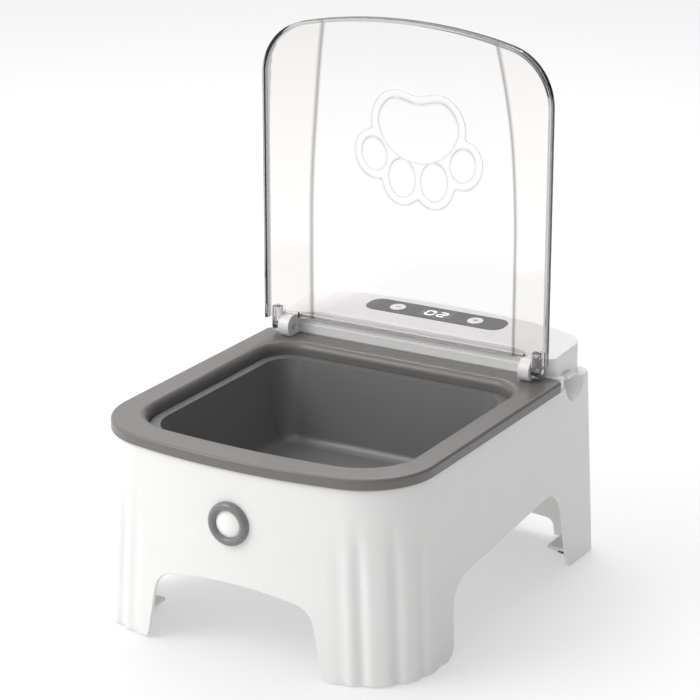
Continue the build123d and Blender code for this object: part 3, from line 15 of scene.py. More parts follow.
import bmesh
import bpy
import numpy as np
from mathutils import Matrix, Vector

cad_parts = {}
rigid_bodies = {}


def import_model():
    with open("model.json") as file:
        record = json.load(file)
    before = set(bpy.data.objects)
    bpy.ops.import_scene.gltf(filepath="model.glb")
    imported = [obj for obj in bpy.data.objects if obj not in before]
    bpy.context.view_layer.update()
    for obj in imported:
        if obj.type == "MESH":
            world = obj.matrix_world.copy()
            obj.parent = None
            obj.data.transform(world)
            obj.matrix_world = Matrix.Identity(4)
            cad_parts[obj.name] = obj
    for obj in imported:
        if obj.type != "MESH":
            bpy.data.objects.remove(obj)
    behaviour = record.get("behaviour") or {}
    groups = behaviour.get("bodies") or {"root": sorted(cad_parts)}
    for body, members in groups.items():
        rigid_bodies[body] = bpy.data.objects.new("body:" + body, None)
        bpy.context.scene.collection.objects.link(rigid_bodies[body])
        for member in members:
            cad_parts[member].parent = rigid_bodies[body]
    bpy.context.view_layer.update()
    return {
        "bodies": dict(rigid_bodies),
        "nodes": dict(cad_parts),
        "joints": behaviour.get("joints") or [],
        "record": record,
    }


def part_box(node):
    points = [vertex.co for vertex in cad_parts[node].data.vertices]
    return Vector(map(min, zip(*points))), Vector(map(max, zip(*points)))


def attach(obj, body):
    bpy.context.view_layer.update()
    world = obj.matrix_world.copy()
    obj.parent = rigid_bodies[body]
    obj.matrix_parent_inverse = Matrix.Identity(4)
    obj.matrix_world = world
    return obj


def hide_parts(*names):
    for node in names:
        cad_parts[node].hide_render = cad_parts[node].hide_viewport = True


LOG = logging.getLogger("feeder")
MM = 0.001
# the vertex layer that holds the lid's painted shade lines
SHADE_LINE_LAYER = "line"
WHITE = (1.0, 1.0, 1.0, 1.0)
QUARTER_TURN = (0.4, 0.8, 1.2, pi / 2)


# ---------------------------------------------------------------- shader maths
class Socket:
    """A shader output whose operators add Math nodes to its tree."""

    def __init__(self, tree: "ShaderTree", output: bpy.types.NodeSocket) -> None:
        self.tree = tree
        self.output = output

    def _math(self, operation: str, first: object, second: object) -> "Socket":
        """Add one Math node.

        Args:
            operation: the node's operation.
            first: the left operand, a socket or a number.
            second: the right operand, a socket or a number.

        Returns:
            The node's value.
        """
        return self.tree.node("ShaderNodeMath", {"operation": operation}, {0: first, 1: second})

    def __add__(self, other: object) -> "Socket":
        """Sum."""
        return self._math("ADD", self, other)

    __radd__ = __add__

    def __sub__(self, other: object) -> "Socket":
        """Difference."""
        return self._math("SUBTRACT", self, other)

    def __rsub__(self, other: object) -> "Socket":
        """Difference with the socket on the right."""
        return self._math("SUBTRACT", other, self)

    def __mul__(self, other: object) -> "Socket":
        """Product."""
        return self._math("MULTIPLY", self, other)

    __rmul__ = __mul__

    def __gt__(self, other: object) -> "Socket":
        """One where the socket is the greater."""
        return self._math("GREATER_THAN", self, other)

    def __lt__(self, other: object) -> "Socket":
        """One where the socket is the smaller."""
        return self._math("LESS_THAN", self, other)

    def sine(self) -> "Socket":
        """The sine of the socket."""
        return self.tree.node("ShaderNodeMath", {"operation": "SINE"}, {0: self})


class ShaderTree:
    """The node tree of a material or a world, with one method for every node."""

    def __init__(self, name: str, world: bool = False) -> None:
        self.owner = (bpy.data.worlds if world else bpy.data.materials).new(name)
        self.owner.use_nodes = True
        self.nodes = self.owner.node_tree.nodes
        self.links = self.owner.node_tree.links
        self.nodes.clear()

    def node(
        self,
        kind: str,
        settings: Optional[dict] = None,
        inputs: Optional[dict] = None,
        output: object = 0,
    ) -> Socket:
        """Make a node, set it up and connect it.

        Args:
            kind: the node's type.
            settings: properties set before the inputs; "stops" fills a ramp.
            inputs: values or sockets by input name or number.
            output: the output to return.

        Returns:
            The chosen output.
        """
        made = self.nodes.new(kind)
        for name, value in (settings or {}).items():
            if name == "stops":
                ramp = made.color_ramp
                while len(ramp.elements) < len(value):
                    ramp.elements.new(0.5)
                for element, (place, colour) in zip(ramp.elements, value):
                    element.position = place
                    element.color = colour
            else:
                setattr(made, name, value)
        for name, value in (inputs or {}).items():
            if isinstance(value, Socket):
                self.links.new(value.output, made.inputs[name])
            else:
                made.inputs[name].default_value = value
        return Socket(self, made.outputs[output])

    def place(self, scale: Sequence[float] = (1.0, 1.0, 1.0)) -> Socket:
        """Object coordinates, stretched by a scale."""
        coordinates = self.node("ShaderNodeTexCoord", output="Object")
        return self.node("ShaderNodeMapping", inputs={"Vector": coordinates, "Scale": scale})

    def noise(self, scale: float, detail: float = 3.0, stretch: Sequence[float] = (1, 1, 1)) -> Socket:
        """Noise between 0 and 1.

        Args:
            scale: how many features there are in a metre.
            detail: the number of octaves.
            stretch: a scale for each axis.

        Returns:
            The noise's factor.
        """
        where = self.place(stretch)
        values = {"Vector": where, "Scale": scale, "Detail": detail, "Roughness": 0.55}
        return self.node("ShaderNodeTexNoise", {}, values)

    def blend(self, share: object, first: object, second: object) -> Socket:
        """A mix of two colours, each a socket or three numbers, by a share.

        Args:
            share: how much of the second colour shows.
            first: the first colour.
            second: the second colour.

        Returns:
            The mixed colour.
        """
        pair = [colour if isinstance(colour, Socket) else (*colour, 1.0) for colour in (first, second)]
        values = {0: share, 6: pair[0], 7: pair[1]}
        return self.node("ShaderNodeMix", {"data_type": "RGBA"}, values, 2)

    def bump(self, height: Socket, depth: float, over: Optional[Socket] = None) -> Socket:
        """A bump of a real depth in metres, laid over another one.

        Args:
            height: the height, between 0 and 1.
            depth: the depth of a full step.
            over: the bump that this one lies on.

        Returns:
            The bent normal.
        """
        values = {"Height": height, "Distance": depth, "Strength": 1.0}
        if over is not None:
            values["Normal"] = over
        return self.node("ShaderNodeBump", {}, values)

    def finish(self, **inputs: object) -> bpy.types.Material:
        """Close the tree with a Principled shader.

        Args:
            inputs: the shader's inputs, with underscores for spaces.

        Returns:
            The material.
        """
        values = {name.replace("_", " "): value for name, value in inputs.items()}
        self.close(self.node("ShaderNodeBsdfPrincipled", {}, values), "ShaderNodeOutputMaterial")
        return self.owner

    def close(self, shader: Socket, kind: str) -> None:
        """Connect a shader to an output node of a kind."""
        made = self.nodes.new(kind)
        self.links.new(shader.output, made.inputs["Surface"])


Colour = tuple[float, float, float]


def shade(colour: Colour, factor: float) -> Colour:
    """A colour made lighter or darker by a factor."""
    return tuple(min(1.0, channel * factor) for channel in colour)


@dataclass(frozen=True)
class Moulding:
    """Injection-moulded plastic: a fine skin, a slow flow pattern and a little handling haze."""

    colour: Colour
    roughness: float = 0.28
    grain: float = 1400.0
    grain_depth: float = 0.000012
    flow: float = 22.0
    flow_depth: float = 0.00006
    mottle: float = 0.025
    coat: float = 0.15

    def make(self, name: str) -> bpy.types.Material:
        """Build the material.

        Args:
            name: the material's name.

        Returns:
            The material.
        """
        tree = ShaderTree(name)
        haze = tree.noise(38.0, 4.0)
        fine = tree.noise(self.grain, 2.0)
        speck = tree.noise(420.0, 1.0)
        colour = tree.blend(haze, shade(self.colour, 1 - self.mottle), shade(self.colour, 1 + self.mottle))
        roughness = self.roughness - 0.06 + 0.09 * haze + 0.05 * speck
        skin = tree.bump(tree.noise(self.flow, 1.0), self.flow_depth)
        normal = tree.bump(fine, self.grain_depth, skin)
        return tree.finish(
            Base_Color=colour,
            Roughness=roughness,
            Normal=normal,
            Coat_Weight=self.coat,
            Coat_Roughness=0.12,
            IOR=1.5,
        )


@dataclass(frozen=True)
class Metal:
    """Drawn or turned metal with fine lines along one axis."""

    colour: Colour
    roughness: float = 0.3
    along: Colour = (6.0, 160.0, 160.0)

    def make(self, name: str) -> bpy.types.Material:
        """Build the material.

        Args:
            name: the material's name.

        Returns:
            The material.
        """
        tree = ShaderTree(name)
        lines = tree.noise(12.0, 4.0, self.along)
        stain = tree.noise(90.0, 3.0)
        colour = tree.blend(stain, shade(self.colour, 0.86), shade(self.colour, 1.06))
        return tree.finish(
            Base_Color=colour,
            Metallic=1.0,
            Roughness=self.roughness - 0.08 + 0.18 * lines,
            Normal=tree.bump(lines, 0.000008),
        )


@dataclass(frozen=True)
class Rubber:
    """Soft moulded rubber with a dusty skin."""

    colour: Colour

    def make(self, name: str) -> bpy.types.Material:
        """Build the material.

        Args:
            name: the material's name.

        Returns:
            The material.
        """
        tree = ShaderTree(name)
        dust = tree.noise(260.0, 5.0)
        colour = tree.blend(dust, shade(self.colour, 0.85), shade(self.colour, 1.35))
        return tree.finish(
            Base_Color=colour,
            Roughness=0.62 + 0.25 * dust,
            Normal=tree.bump(tree.noise(2400.0, 2.0), 0.00003),
        )


@dataclass(frozen=True)
class Board:
    """A coated circuit board with pale tracks under the coating."""

    colour: Colour
    track: Colour

    def make(self, name: str) -> bpy.types.Material:
        """Build the material.

        Args:
            name: the material's name.

        Returns:
            The material.
        """
        tree = ShaderTree(name)
        cells = {"Vector": tree.place(), "Scale": 300.0, "Randomness": 0.35}
        edge = tree.node("ShaderNodeTexVoronoi", {"feature": "DISTANCE_TO_EDGE"}, cells)
        line = edge < 0.06
        colour = tree.blend(line, self.colour, self.track)
        return tree.finish(
            Base_Color=colour,
            Roughness=0.32 + 0.12 * tree.noise(500.0),
            Normal=tree.bump(line, 0.00002),
            Coat_Weight=0.4,
        )


@dataclass(frozen=True)
class Sleeve:
    """The printed sleeve of a cell: a dark body, a bright band and a pale ring."""

    colour: Colour
    band: Colour

    def make(self, name: str) -> bpy.types.Material:
        """Build the material.

        Args:
            name: the material's name.

        Returns:
            The material.
        """
        tree = ShaderTree(name)
        split = tree.node("ShaderNodeSeparateXYZ", inputs={0: tree.place()})
        band = (split * (2 * pi / 0.05)).sine() > 0.6
        colour = tree.blend(band, self.colour, self.band)
        scuff = tree.noise(700.0, 4.0)
        return tree.finish(
            Base_Color=colour,
            Metallic=0.3 * band,
            Roughness=0.24 + 0.16 * scuff,
            Normal=tree.bump(scuff, 0.00001),
        )


@dataclass(frozen=True)
class Clear:
    """Clear polished plastic with a faint tint, slight flow marks and painted shade along the lines that a
    vertex layer marks.
    """

    tint: Colour
    roughness: float = 0.01
    # painted shade: the dark colour of the lines painted along the lid's creases and relief
    line: Colour = (0.42, 0.41, 0.405)

    def make(self, name: str) -> bpy.types.Material:
        """Build the material.

        Args:
            name: the material's name.

        Returns:
            The material.
        """
        tree = ShaderTree(name)
        flow = tree.noise(9.0, 1.0)
        haze = tree.noise(60.0, 4.0)
        plain = tree.blend(haze, shade(self.tint, 0.985), shade(self.tint, 1.01))
        # painted shade: the vertex layer says where the dark lines go
        drawn = tree.node("ShaderNodeAttribute", {"attribute_name": SHADE_LINE_LAYER}, {}, "Fac")
        colour = tree.blend(drawn, plain, self.line)
        return tree.finish(
            Base_Color=colour,
            Roughness=self.roughness + 0.012 * haze,
            Normal=tree.bump(flow, 0.0001),
            Transmission_Weight=1.0,
            IOR=1.46,
        )


@dataclass(frozen=True)
class Lamp:
    """A lit segment: pale and faintly glowing."""

    colour: Colour
    glow: float

    def make(self, name: str) -> bpy.types.Material:
        """Build the material.

        Args:
            name: the material's name.

        Returns:
            The material.
        """
        tree = ShaderTree(name)
        cloud = tree.noise(900.0, 2.0)
        colour = tree.blend(cloud, shade(self.colour, 0.95), shade(self.colour, 1.04))
        return tree.finish(
            Base_Color=colour,
            Roughness=0.35 + 0.1 * cloud,
            Emission_Color=colour,
            Emission_Strength=self.glow,
        )


class Slot(Enum):
    """The record's material slots and the finish each one gets."""

    WHITE_SHELL = Moulding((0.850, 0.842, 0.834), roughness=0.30)
    GREY_RIM = Moulding((0.160, 0.153, 0.148), roughness=0.34, coat=0.1, mottle=0.03)
    GREY_BOWL = Moulding(
        (0.150, 0.153, 0.156),
        roughness=0.30,
        coat=0.08,
        mottle=0.015,
        flow_depth=0.00002,
        grain_depth=0.000005,
    )
    CLEAR_LID = Clear((0.955, 0.942, 0.945))
    GREY_STRIP = Moulding((0.105, 0.105, 0.108), roughness=0.30, grain=2600.0)
    DARK_WINDOW = Moulding((0.20, 0.20, 0.203), roughness=0.14, grain_depth=0.000002)
    DISPLAY_BLACK = Moulding((0.02, 0.02, 0.022), roughness=0.45)
    KEY_WHITE = Moulding((0.96, 0.96, 0.955), roughness=0.22, grain_depth=0.000004)
    SWITCH_BLACK = Moulding((0.02, 0.02, 0.02), roughness=0.5)
    BOARD_GREEN = Board((0.02, 0.13, 0.05), (0.06, 0.26, 0.10))
    STEEL = Metal((0.62, 0.62, 0.63))
    ACETAL = Moulding((0.80, 0.78, 0.72), roughness=0.42, coat=0.0)
    GEARBOX_GREY = Moulding((0.07, 0.075, 0.085), roughness=0.45, coat=0.0)
    RING_GREY = Moulding((0.20, 0.20, 0.202), roughness=0.26, grain_depth=0.000004)
    LENS_MILKY = Moulding((0.92, 0.92, 0.905), roughness=0.20, grain_depth=0.000002)
    NUT_BLACK = Moulding((0.02, 0.02, 0.02), roughness=0.5)
    BASE_WHITE = Moulding((0.80, 0.80, 0.79), roughness=0.48, grain=900.0, grain_depth=0.00004, coat=0.0)
    CASE_BLACK = Moulding((0.02, 0.02, 0.021), roughness=0.5, coat=0.0)
    CELL_SLEEVE = Sleeve((0.03, 0.04, 0.05), (0.55, 0.36, 0.12))
    PAD_RUBBER = Rubber((0.06, 0.06, 0.06))


class LidPaintedShade(Enum):
    """Painted shade on the lid's clear plastic: a slightly darker tint on the sloping sides and a dark tint
    on the edge and the skirt.
    """

    # painted shade: the sloping sides are tinted a little darker than the middle panel
    LID_SIDE = Clear((0.932, 0.920, 0.910))
    # painted shade: the edge and the skirt are tinted dark, where the clear plastic looks dark
    LID_EDGE = Clear((0.38, 0.37, 0.37), 0.03)


class Finishes:
    """Makes each material once and hands it out by slot."""

    def __init__(self) -> None:
        self.made: dict[str, bpy.types.Material] = {}

    def get(self, name: str, finish: Optional[object] = None) -> bpy.types.Material:
        """The material of a slot, or of an extra finish under its own name.

        Args:
            name: the slot's or the finish's name.
            finish: the extra finish, where the name isn't a slot.

        Returns:
            The material.
        """
        if name not in self.made:
            source = finish if finish is not None else Slot[name.upper()].value
            self.made[name] = source.make(name)
        return self.made[name]


# ---------------------------------------------------------------- mesh helpers
def new_mesh(
    name: str, points: np.ndarray, faces: list, smooth_under: float = 35.0
) -> bpy.types.Object:
    """Make an object from points in millimetres.

    Args:
        name: the piece's name.
        points: one row for each vertex, in millimetres.
        faces: lists of vertex numbers.
        smooth_under: edges that turn by more than this many degrees stay sharp.

    Returns:
        The object, closed, with its faces outwards.
    """
    mesh = bpy.data.meshes.new(name)
    mesh.from_pydata((np.asarray(points) * MM).tolist(), [], faces)
    work = bmesh.new()
    work.from_mesh(mesh)
    bmesh.ops.remove_doubles(work, verts=work.verts, dist=0.000001)
    bmesh.ops.dissolve_degenerate(work, edges=work.edges, dist=0.0000005)
    bmesh.ops.recalc_face_normals(work, faces=work.faces)
    work.to_mesh(mesh)
    work.free()
    mesh.shade_smooth()
    mesh.set_sharp_from_angle(angle=radians(smooth_under))
    piece = bpy.data.objects.new(name, mesh)
    bpy.context.scene.collection.objects.link(piece)
    return piece


def rounded_path(corners: Sequence[tuple], step: float = 0.25) -> np.ndarray:
    """A line through corners, with an arc at each corner that has a radius.

    Args:
        corners: (along, up, radius) of each corner.
        step: spacing of the points.

    Returns:
        One row (along, up) for each point.
    """
    points: list = []
    for number, (a, z, radius) in enumerate(corners):
        here = np.array([a, z], float)
        if radius == 0 or number in (0, len(corners) - 1):
            points.append(here)
            continue
        back = np.array(corners[number - 1][:2]) - here
        ahead = np.array(corners[number + 1][:2]) - here
        back = back / np.linalg.norm(back)
        ahead = ahead / np.linalg.norm(ahead)
        half = np.arccos(np.clip(back @ ahead, -1, 1)) / 2
        reach = radius / tan(half)
        middle = here + (back + ahead) / np.linalg.norm(back + ahead) * radius / sin(half)
        start, end = here + back * reach - middle, here + ahead * reach - middle
        turn = np.arctan2(start[0] * end[1] - start[1] * end[0], start @ end)
        for share in np.linspace(0, 1, 12):
            c, s = cos(turn * share), sin(turn * share)
            points.append(middle + np.array([start[0] * c - start[1] * s, start[0] * s + start[1] * c]))
    path = np.array(points)
    run = np.concatenate([[0], np.cumsum(np.linalg.norm(np.diff(path, axis=0), axis=1))])
    even = np.linspace(0, run[-1], int(run[-1] / step) + 2)
    return np.column_stack([np.interp(even, run, path[:, k]) for k in (0, 1)])


def stepped(runs: Sequence[tuple]) -> np.ndarray:
    """Places along a line, from runs of (start, end, count) that follow each other."""
    places = [np.linspace(start, end, count)[:-1] for start, end, count in runs]
    return np.append(np.concatenate(places), runs[-1][1])


def spaced(*runs: tuple) -> np.ndarray:
    """Places at even steps, from runs of (start, end, step)."""
    return np.concatenate([np.arange(*run) for run in runs])


def lower_edge(path: np.ndarray, shift: float) -> tuple[np.ndarray, np.ndarray]:
    """An arch's edge moved into the wall by a shift, as heights over places that only grow.

    Args:
        path: the edge's points.
        shift: how far it is moved.

    Returns:
        The places and the heights.
    """
    along = np.gradient(path, axis=0)
    length = np.linalg.norm(along, axis=1)[:, None]
    normal = np.column_stack([-along[:, 1], along[:, 0]]) / length
    moved = path + normal * shift
    keep = np.concatenate([[True], np.diff(np.maximum.accumulate(moved[:, 0])) > 1e-6])
    return moved[keep, 0], moved[keep, 1]


def dress(piece: bpy.types.Object, materials: Sequence[bpy.types.Material]) -> None:
    """Give a piece its materials.

    Args:
        piece: the piece.
        materials: its materials, in the order of their numbers.
    """
    piece.data.materials.clear()
    for material in materials:
        piece.data.materials.append(material)


def hand_over(piece: bpy.types.Object, body: str, nodes: Sequence[str] = ()) -> None:
    """Tell the frame what a piece rides on and stands for.

    Args:
        piece: the piece.
        body: the body that it rides on.
        nodes: the nodes that it stands for.
    """
    if nodes:
        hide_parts(*nodes)
    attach(piece, body)
    LOG.info("%s: %d faces on %s", piece.name, len(piece.data.polygons), body)


# ---------------------------------------------------------------- shell
class Segment(Enum):
    """The parts of the right half of the shell's plan, from the front to the rear."""

    FRONT = 0
    FRONT_CORNER = 1
    SIDE = 2
    REAR_CORNER = 3
    REAR = 4


@dataclass
class Shell:
    """The white body on four legs: one closed wall with arches, dishes and fluted corners."""

    finishes: Finishes
    wall: float = 2.4
    foot_half: float = 106.0
    side_lean: float = 6.0
    front_lean: float = 3.0
    front_bow: float = 14.8
    rear_bow: float = 10.0
    depth_between_bows: float = 238.8
    front_radius: float = 42.0
    rear_radius: float = 12.0
    lift: float = 0.8
    top_edge: float = 1.5
    deck_insets: tuple = (2.4, 4.0, 6.0, 8.0, 10.0, 12.0)
    under_insets: tuple = (12.0, 9.0, 6.0, 4.0)
    foot_shifts: tuple = (0.6, 0.18, 0.0)
    foot_insets: tuple = (0.4, 0.9)
    front_arch_half: float = 57.5
    front_arch_top_half: float = 50.0
    front_arch_side: float = 41.5
    front_arch_height: float = 48.0
    front_leg_depth: float = 50.6
    rear_leg_depth: float = 39.8
    side_arch_heights: tuple = (44.0, 56.0)
    side_arch_leans: tuple = (2.2, 9.0)
    rear_arch_half: float = 75.0
    rear_arch_height: float = 11.0
    dish_radius: float = 13.0
    dish_out: float = 103.0
    dish_behind_rim: float = 19.5
    flutes_at: tuple = ((7.5, 0.35), (23.0, 1.0), (51.0, 1.0), (75.0, 0.75), (97.0, 0.4))
    flute_depth: float = 2.0
    flute_top: float = 104.0
    flute_fade: float = 46.0
    flute_width: float = 4.8
    flute_spans: dict = field(
        default_factory=lambda: {
            Segment.FRONT: (-87.0, 11.0),
            Segment.FRONT_CORNER: (11.0, 90.0),
            Segment.SIDE: (90.0, 320.0),
        }
    )
    arch_radii: tuple = (14.0, 4.0)
    side_arch_radii: tuple = (9.0, 17.0, 20.0, 4.0)
    belt: float = 100.0
    inner_belt: float = 95.0
    corner_columns: int = 84

    def __post_init__(self) -> None:
        """Read the outside sizes from the frame."""
        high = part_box("body_shell")[1] / MM
        self.height = high.z
        self.half = self.foot_half
        self.rear_line = high.y - self.rear_bow
        self.front_line = self.rear_line - self.depth_between_bows
        self.rim_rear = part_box("bowl_frame")[1].y / MM
        dish_y = self.rim_rear + self.dish_behind_rim
        self.dishes = [np.array([s * self.dish_out, dish_y, self.height + 1.0]) for s in (-1, 1)]

    def outline(self, height: np.ndarray, inset: float, segment: Segment, share: float) -> np.ndarray:
        """A point of the right half of the plan.

        Args:
            height: heights above the floor.
            inset: how far inside the outside.
            segment: the part of the plan.
            share: how far along the segment.

        Returns:
            x and y for each height.
        """
        lean = height / self.height
        half = self.half - self.side_lean * lean - inset
        front = self.front_line + self.front_lean * lean + inset
        rear = self.rear_line - inset
        ends = []
        for bow, radius in ((self.front_bow, self.front_radius), (self.rear_bow, self.rear_radius)):
            big = (half**2 + bow**2) / (2 * bow)
            small = radius - inset
            inner = np.sqrt((big - small) ** 2 - (half - small) ** 2)
            ends.append((big, small, big - bow - inner, np.arcsin((half - small) / (big - small))))
        (big, small, drop, angle), (rear_big, rear_small, rear_drop, rear_angle) = ends
        corner_y = front + drop
        rear_corner_y = rear - rear_drop
        if segment is Segment.FRONT:
            x = share * big * np.sin(angle)
            return np.array([x, front - self.front_bow + big - np.sqrt(big**2 - x**2)])
        if segment is Segment.FRONT_CORNER:
            turn = angle + share * (pi / 2 - angle)
            return np.array([half - small + small * np.sin(turn), corner_y - small * np.cos(turn)])
        if segment is Segment.SIDE:
            return np.array([half, corner_y + share * (rear_corner_y - corner_y)])
        if segment is Segment.REAR_CORNER:
            turn = pi / 2 - share * (pi / 2 - rear_angle)
            across = half - rear_small + rear_small * np.sin(turn)
            return np.array([across, rear_corner_y + rear_small * np.cos(turn)])
        x = (1 - share) * rear_big * np.sin(rear_angle)
        return np.array([x, rear + self.rear_bow - rear_big + np.sqrt(rear_big**2 - x**2)])

    def columns(self) -> list[tuple["Segment", float]]:
        """Where the columns of the right half stand, close together where the edge is steep.

        Returns:
            The segment of each column and its share along it.
        """
        floor = np.array([0.0])
        wide = float(self.outline(floor, 0, Segment.FRONT, 1.0)[0, 0])
        front = spaced((0, 44, 3.0), (44, 62, 0.5), (62, wide, 2.4))
        columns = [(Segment.FRONT, x / wide) for x in front]
        columns += [(Segment.FRONT_CORNER, share) for share in np.linspace(0, 1, self.corner_columns)[:-1]]
        start = float(self.outline(floor, 0, Segment.SIDE, 0.0)[1, 0])
        end = float(self.outline(floor, 0, Segment.SIDE, 1.0)[1, 0])
        first, last = self.side_places()
        side = spaced(
            (start, first - 9, 2.0),
            (first - 9, first - 0.6, 0.6),
            (first - 0.6, first + 2.8, 0.15),
            (first + 2.8, first + 20, 0.8),
            (first + 20, last - 32, 3.0),
            (last - 32, last + 4, 0.5),
            (last + 4, end - 0.3, 0.7),
        )
        columns += [(Segment.SIDE, (y - start) / (end - start)) for y in side]
        columns += [(Segment.REAR_CORNER, share) for share in np.linspace(0, 1, 15)[:-1]]
        rear_wide = float(self.outline(floor, 0, Segment.REAR, 0.0)[0, 0])
        edge = self.rear_arch_half
        rear = spaced((rear_wide, edge + 4, -1.2), (edge + 4, edge - 9, -0.5), (edge - 9, 0, -3.0))
        rear = np.append(rear, 0.0)
        columns += [(Segment.REAR, 1 - x / rear_wide) for x in rear]
        return columns

    def side_places(self) -> tuple[float, float]:
        """The back of the front leg and the front of the rear leg."""
        start = self.front_line + self.front_lean + self.front_leg_depth
        return start, self.rear_line - self.rear_leg_depth

    def edges(self) -> dict["Segment", np.ndarray]:
        """The lower edge of the wall along the front, the side and the rear.

        Returns:
            The edge's points, by segment.
        """
        top_half, half = self.front_arch_top_half, self.front_arch_half
        rise = self.front_arch_height - self.front_arch_side
        big = (top_half**2 + rise**2) / (2 * rise)
        crown = self.front_arch_height - big
        roof = [(x, crown + (big**2 - x**2) ** 0.5, 0) for x in np.linspace(0, 40, 12)]
        far = self.half + 40
        front = roof + [
            (top_half, self.front_arch_side, self.arch_radii[0]),
            (half, self.lift, self.arch_radii[1]),
            (far, self.lift, 0),
        ]
        start, end = self.side_places()
        foot, knee, hip, heel = self.side_arch_radii
        side = [
            (start - 80, self.lift, 0),
            (start, self.lift, foot),
            (start + self.side_arch_leans[0], self.side_arch_heights[0], knee),
            (end - self.side_arch_leans[1], self.side_arch_heights[1], hip),
            (end, self.lift, heel),
            (end + 80, self.lift, 0),
        ]
        edge = self.rear_arch_half
        rear = [
            (0, self.rear_arch_height, 0),
            (edge - 0.3, self.rear_arch_height, self.rear_arch_height / 2),
            (edge, self.lift, 0),
            (far, self.lift, 0),
        ]
        paths = {Segment.FRONT: front, Segment.SIDE: side, Segment.REAR: rear}
        return {segment: rounded_path(path) for segment, path in paths.items()}

    def foot(self, edges: dict, shift: float, inset: float, segment: Segment, share: float) -> float:
        """The height where a column starts.

        Args:
            edges: the wall's lower edges.
            shift: how far the edge is moved into the wall, which rounds it.
            inset: how far inside the outside.
            segment: the column's segment.
            share: its place along the segment.

        Returns:
            The height.
        """
        if segment in (Segment.FRONT_CORNER, Segment.REAR_CORNER):
            return self.lift + shift
        places, heights = edges[segment]
        z = np.array([20.0])
        for _ in range(6):
            x, y = self.outline(z, inset, segment, share)
            z = np.array([np.interp(y[0] if segment is Segment.SIDE else x[0], places, heights)])
        return float(z[0])

    def flutes(self, height: np.ndarray, segment: Segment, share: float) -> np.ndarray:
        """How far the front corners are drawn in by their soft grooves.

        Args:
            height: heights above the floor.
            segment: the column's segment.
            share: its place along the segment.

        Returns:
            The depth at each height.
        """
        if segment not in self.flute_spans:
            return np.zeros_like(height)
        first, last = self.flute_spans[segment]
        turn = first + share * (last - first)
        groove = sum(
            weight * np.exp(-(((turn - angle) / self.flute_width) ** 2)) for angle, weight in self.flutes_at
        )
        fade = np.clip((self.flute_top - height) / self.flute_fade, 0, 1)
        return self.flute_depth * groove * fade * fade * (3 - 2 * fade)

    def column(self, edges: dict, segment: Segment, share: float) -> np.ndarray:
        """One column of points: up the outside, over the deck's edge and down the inside.

        Args:
            edges: the wall's lower edge for each rounding shift.
            segment: the column's segment.
            share: its place along the segment.

        Returns:
            One row for each point.
        """
        top = self.height
        turn_z = top - self.top_edge
        shift = self.foot_shifts[0]
        foot = self.foot(edges[shift], shift, 0.0, segment, share)
        outer = np.concatenate([np.linspace(foot, self.belt, 26)[:-1], np.linspace(self.belt, turn_z, 22)])
        x, y = self.outline(outer, 0.0, segment, share)
        drawn = self.flutes(outer, segment, share)
        inner_x, inner_y = self.outline(outer, 1.0, segment, share)
        rows = list(np.column_stack([x + (inner_x - x) * drawn, y + (inner_y - y) * drawn, outer]))
        steps = [(self.top_edge * (1 - cos(a)), turn_z + self.top_edge * sin(a)) for a in QUARTER_TURN]
        steps += [(inset, top) for inset in self.deck_insets]
        deck_rows = len(outer) + len(steps)
        steps += [(inset, top - self.wall) for inset in self.under_insets]
        for inset, z in steps:
            x, y = self.outline(np.array([z]), inset, segment, share)
            rows.append(np.array([x[0], y[0], z]))
        under = top - self.wall
        inner_foot = self.foot(edges[shift], shift, self.wall, segment, share)
        belt = self.inner_belt
        inside = np.concatenate([np.linspace(under, belt, 16), np.linspace(belt, inner_foot, 9)[1:]])
        x, y = self.outline(inside, self.wall, segment, share)
        rows += list(np.column_stack([x, y, inside]))
        sole = list(zip(self.foot_shifts[1:], self.foot_insets))
        for shift, inset in [(lifted, self.wall - inset) for lifted, inset in sole] + sole[::-1]:
            z = np.array([self.foot(edges[shift], shift, inset, segment, share)])
            drawn = self.flutes(z, segment, share) * (1 - inset / self.wall)
            x, y = self.outline(z, inset + drawn[0], segment, share)
            rows.append(np.array([x[0], y[0], z[0]]))
        return self.sink_dishes(np.array(rows), deck_rows)

    def sink_dishes(self, rows: np.ndarray, deck_rows: int) -> np.ndarray:
        """Press the finger dishes into the shoulders, with a wall behind each.

        Args:
            rows: one column's points.
            deck_rows: how many of them are on the outside.

        Returns:
            The moved points.
        """
        for centre in self.dishes:
            away = rows - centre
            distance = np.linalg.norm(away, axis=1)
            behind = np.arange(len(rows)) >= deck_rows
            radius = self.dish_radius + np.where(behind, self.wall, 0.0)
            near = distance < radius
            pushed = centre + away / np.maximum(distance, 1e-6)[:, None] * radius[:, None]
            rows = np.where(near[:, None], pushed, rows)
        return rows

    def build(self) -> None:
        """Build the shell and hand it over."""
        paths = self.edges()
        edges = {shift: {k: lower_edge(p, shift) for k, p in paths.items()} for shift in self.foot_shifts}
        right = [self.column(edges, segment, share) for segment, share in self.columns()]
        left = [column * np.array([-1, 1, 1]) for column in reversed(right[1:-1])]
        grid = np.array(right + left)
        count, rows = grid.shape[:2]
        faces = []
        for i in range(count):
            here, beside = i * rows, (i + 1) % count * rows
            faces += [
                [here + j, beside + j, beside + (j + 1) % rows, here + (j + 1) % rows] for j in range(rows)
            ]
        piece = new_mesh("shell", grid.reshape(-1, 3), faces, 40.0)
        dress(piece, [self.finishes.get("white_shell")])
        hand_over(piece, "stand", ["body_shell"])


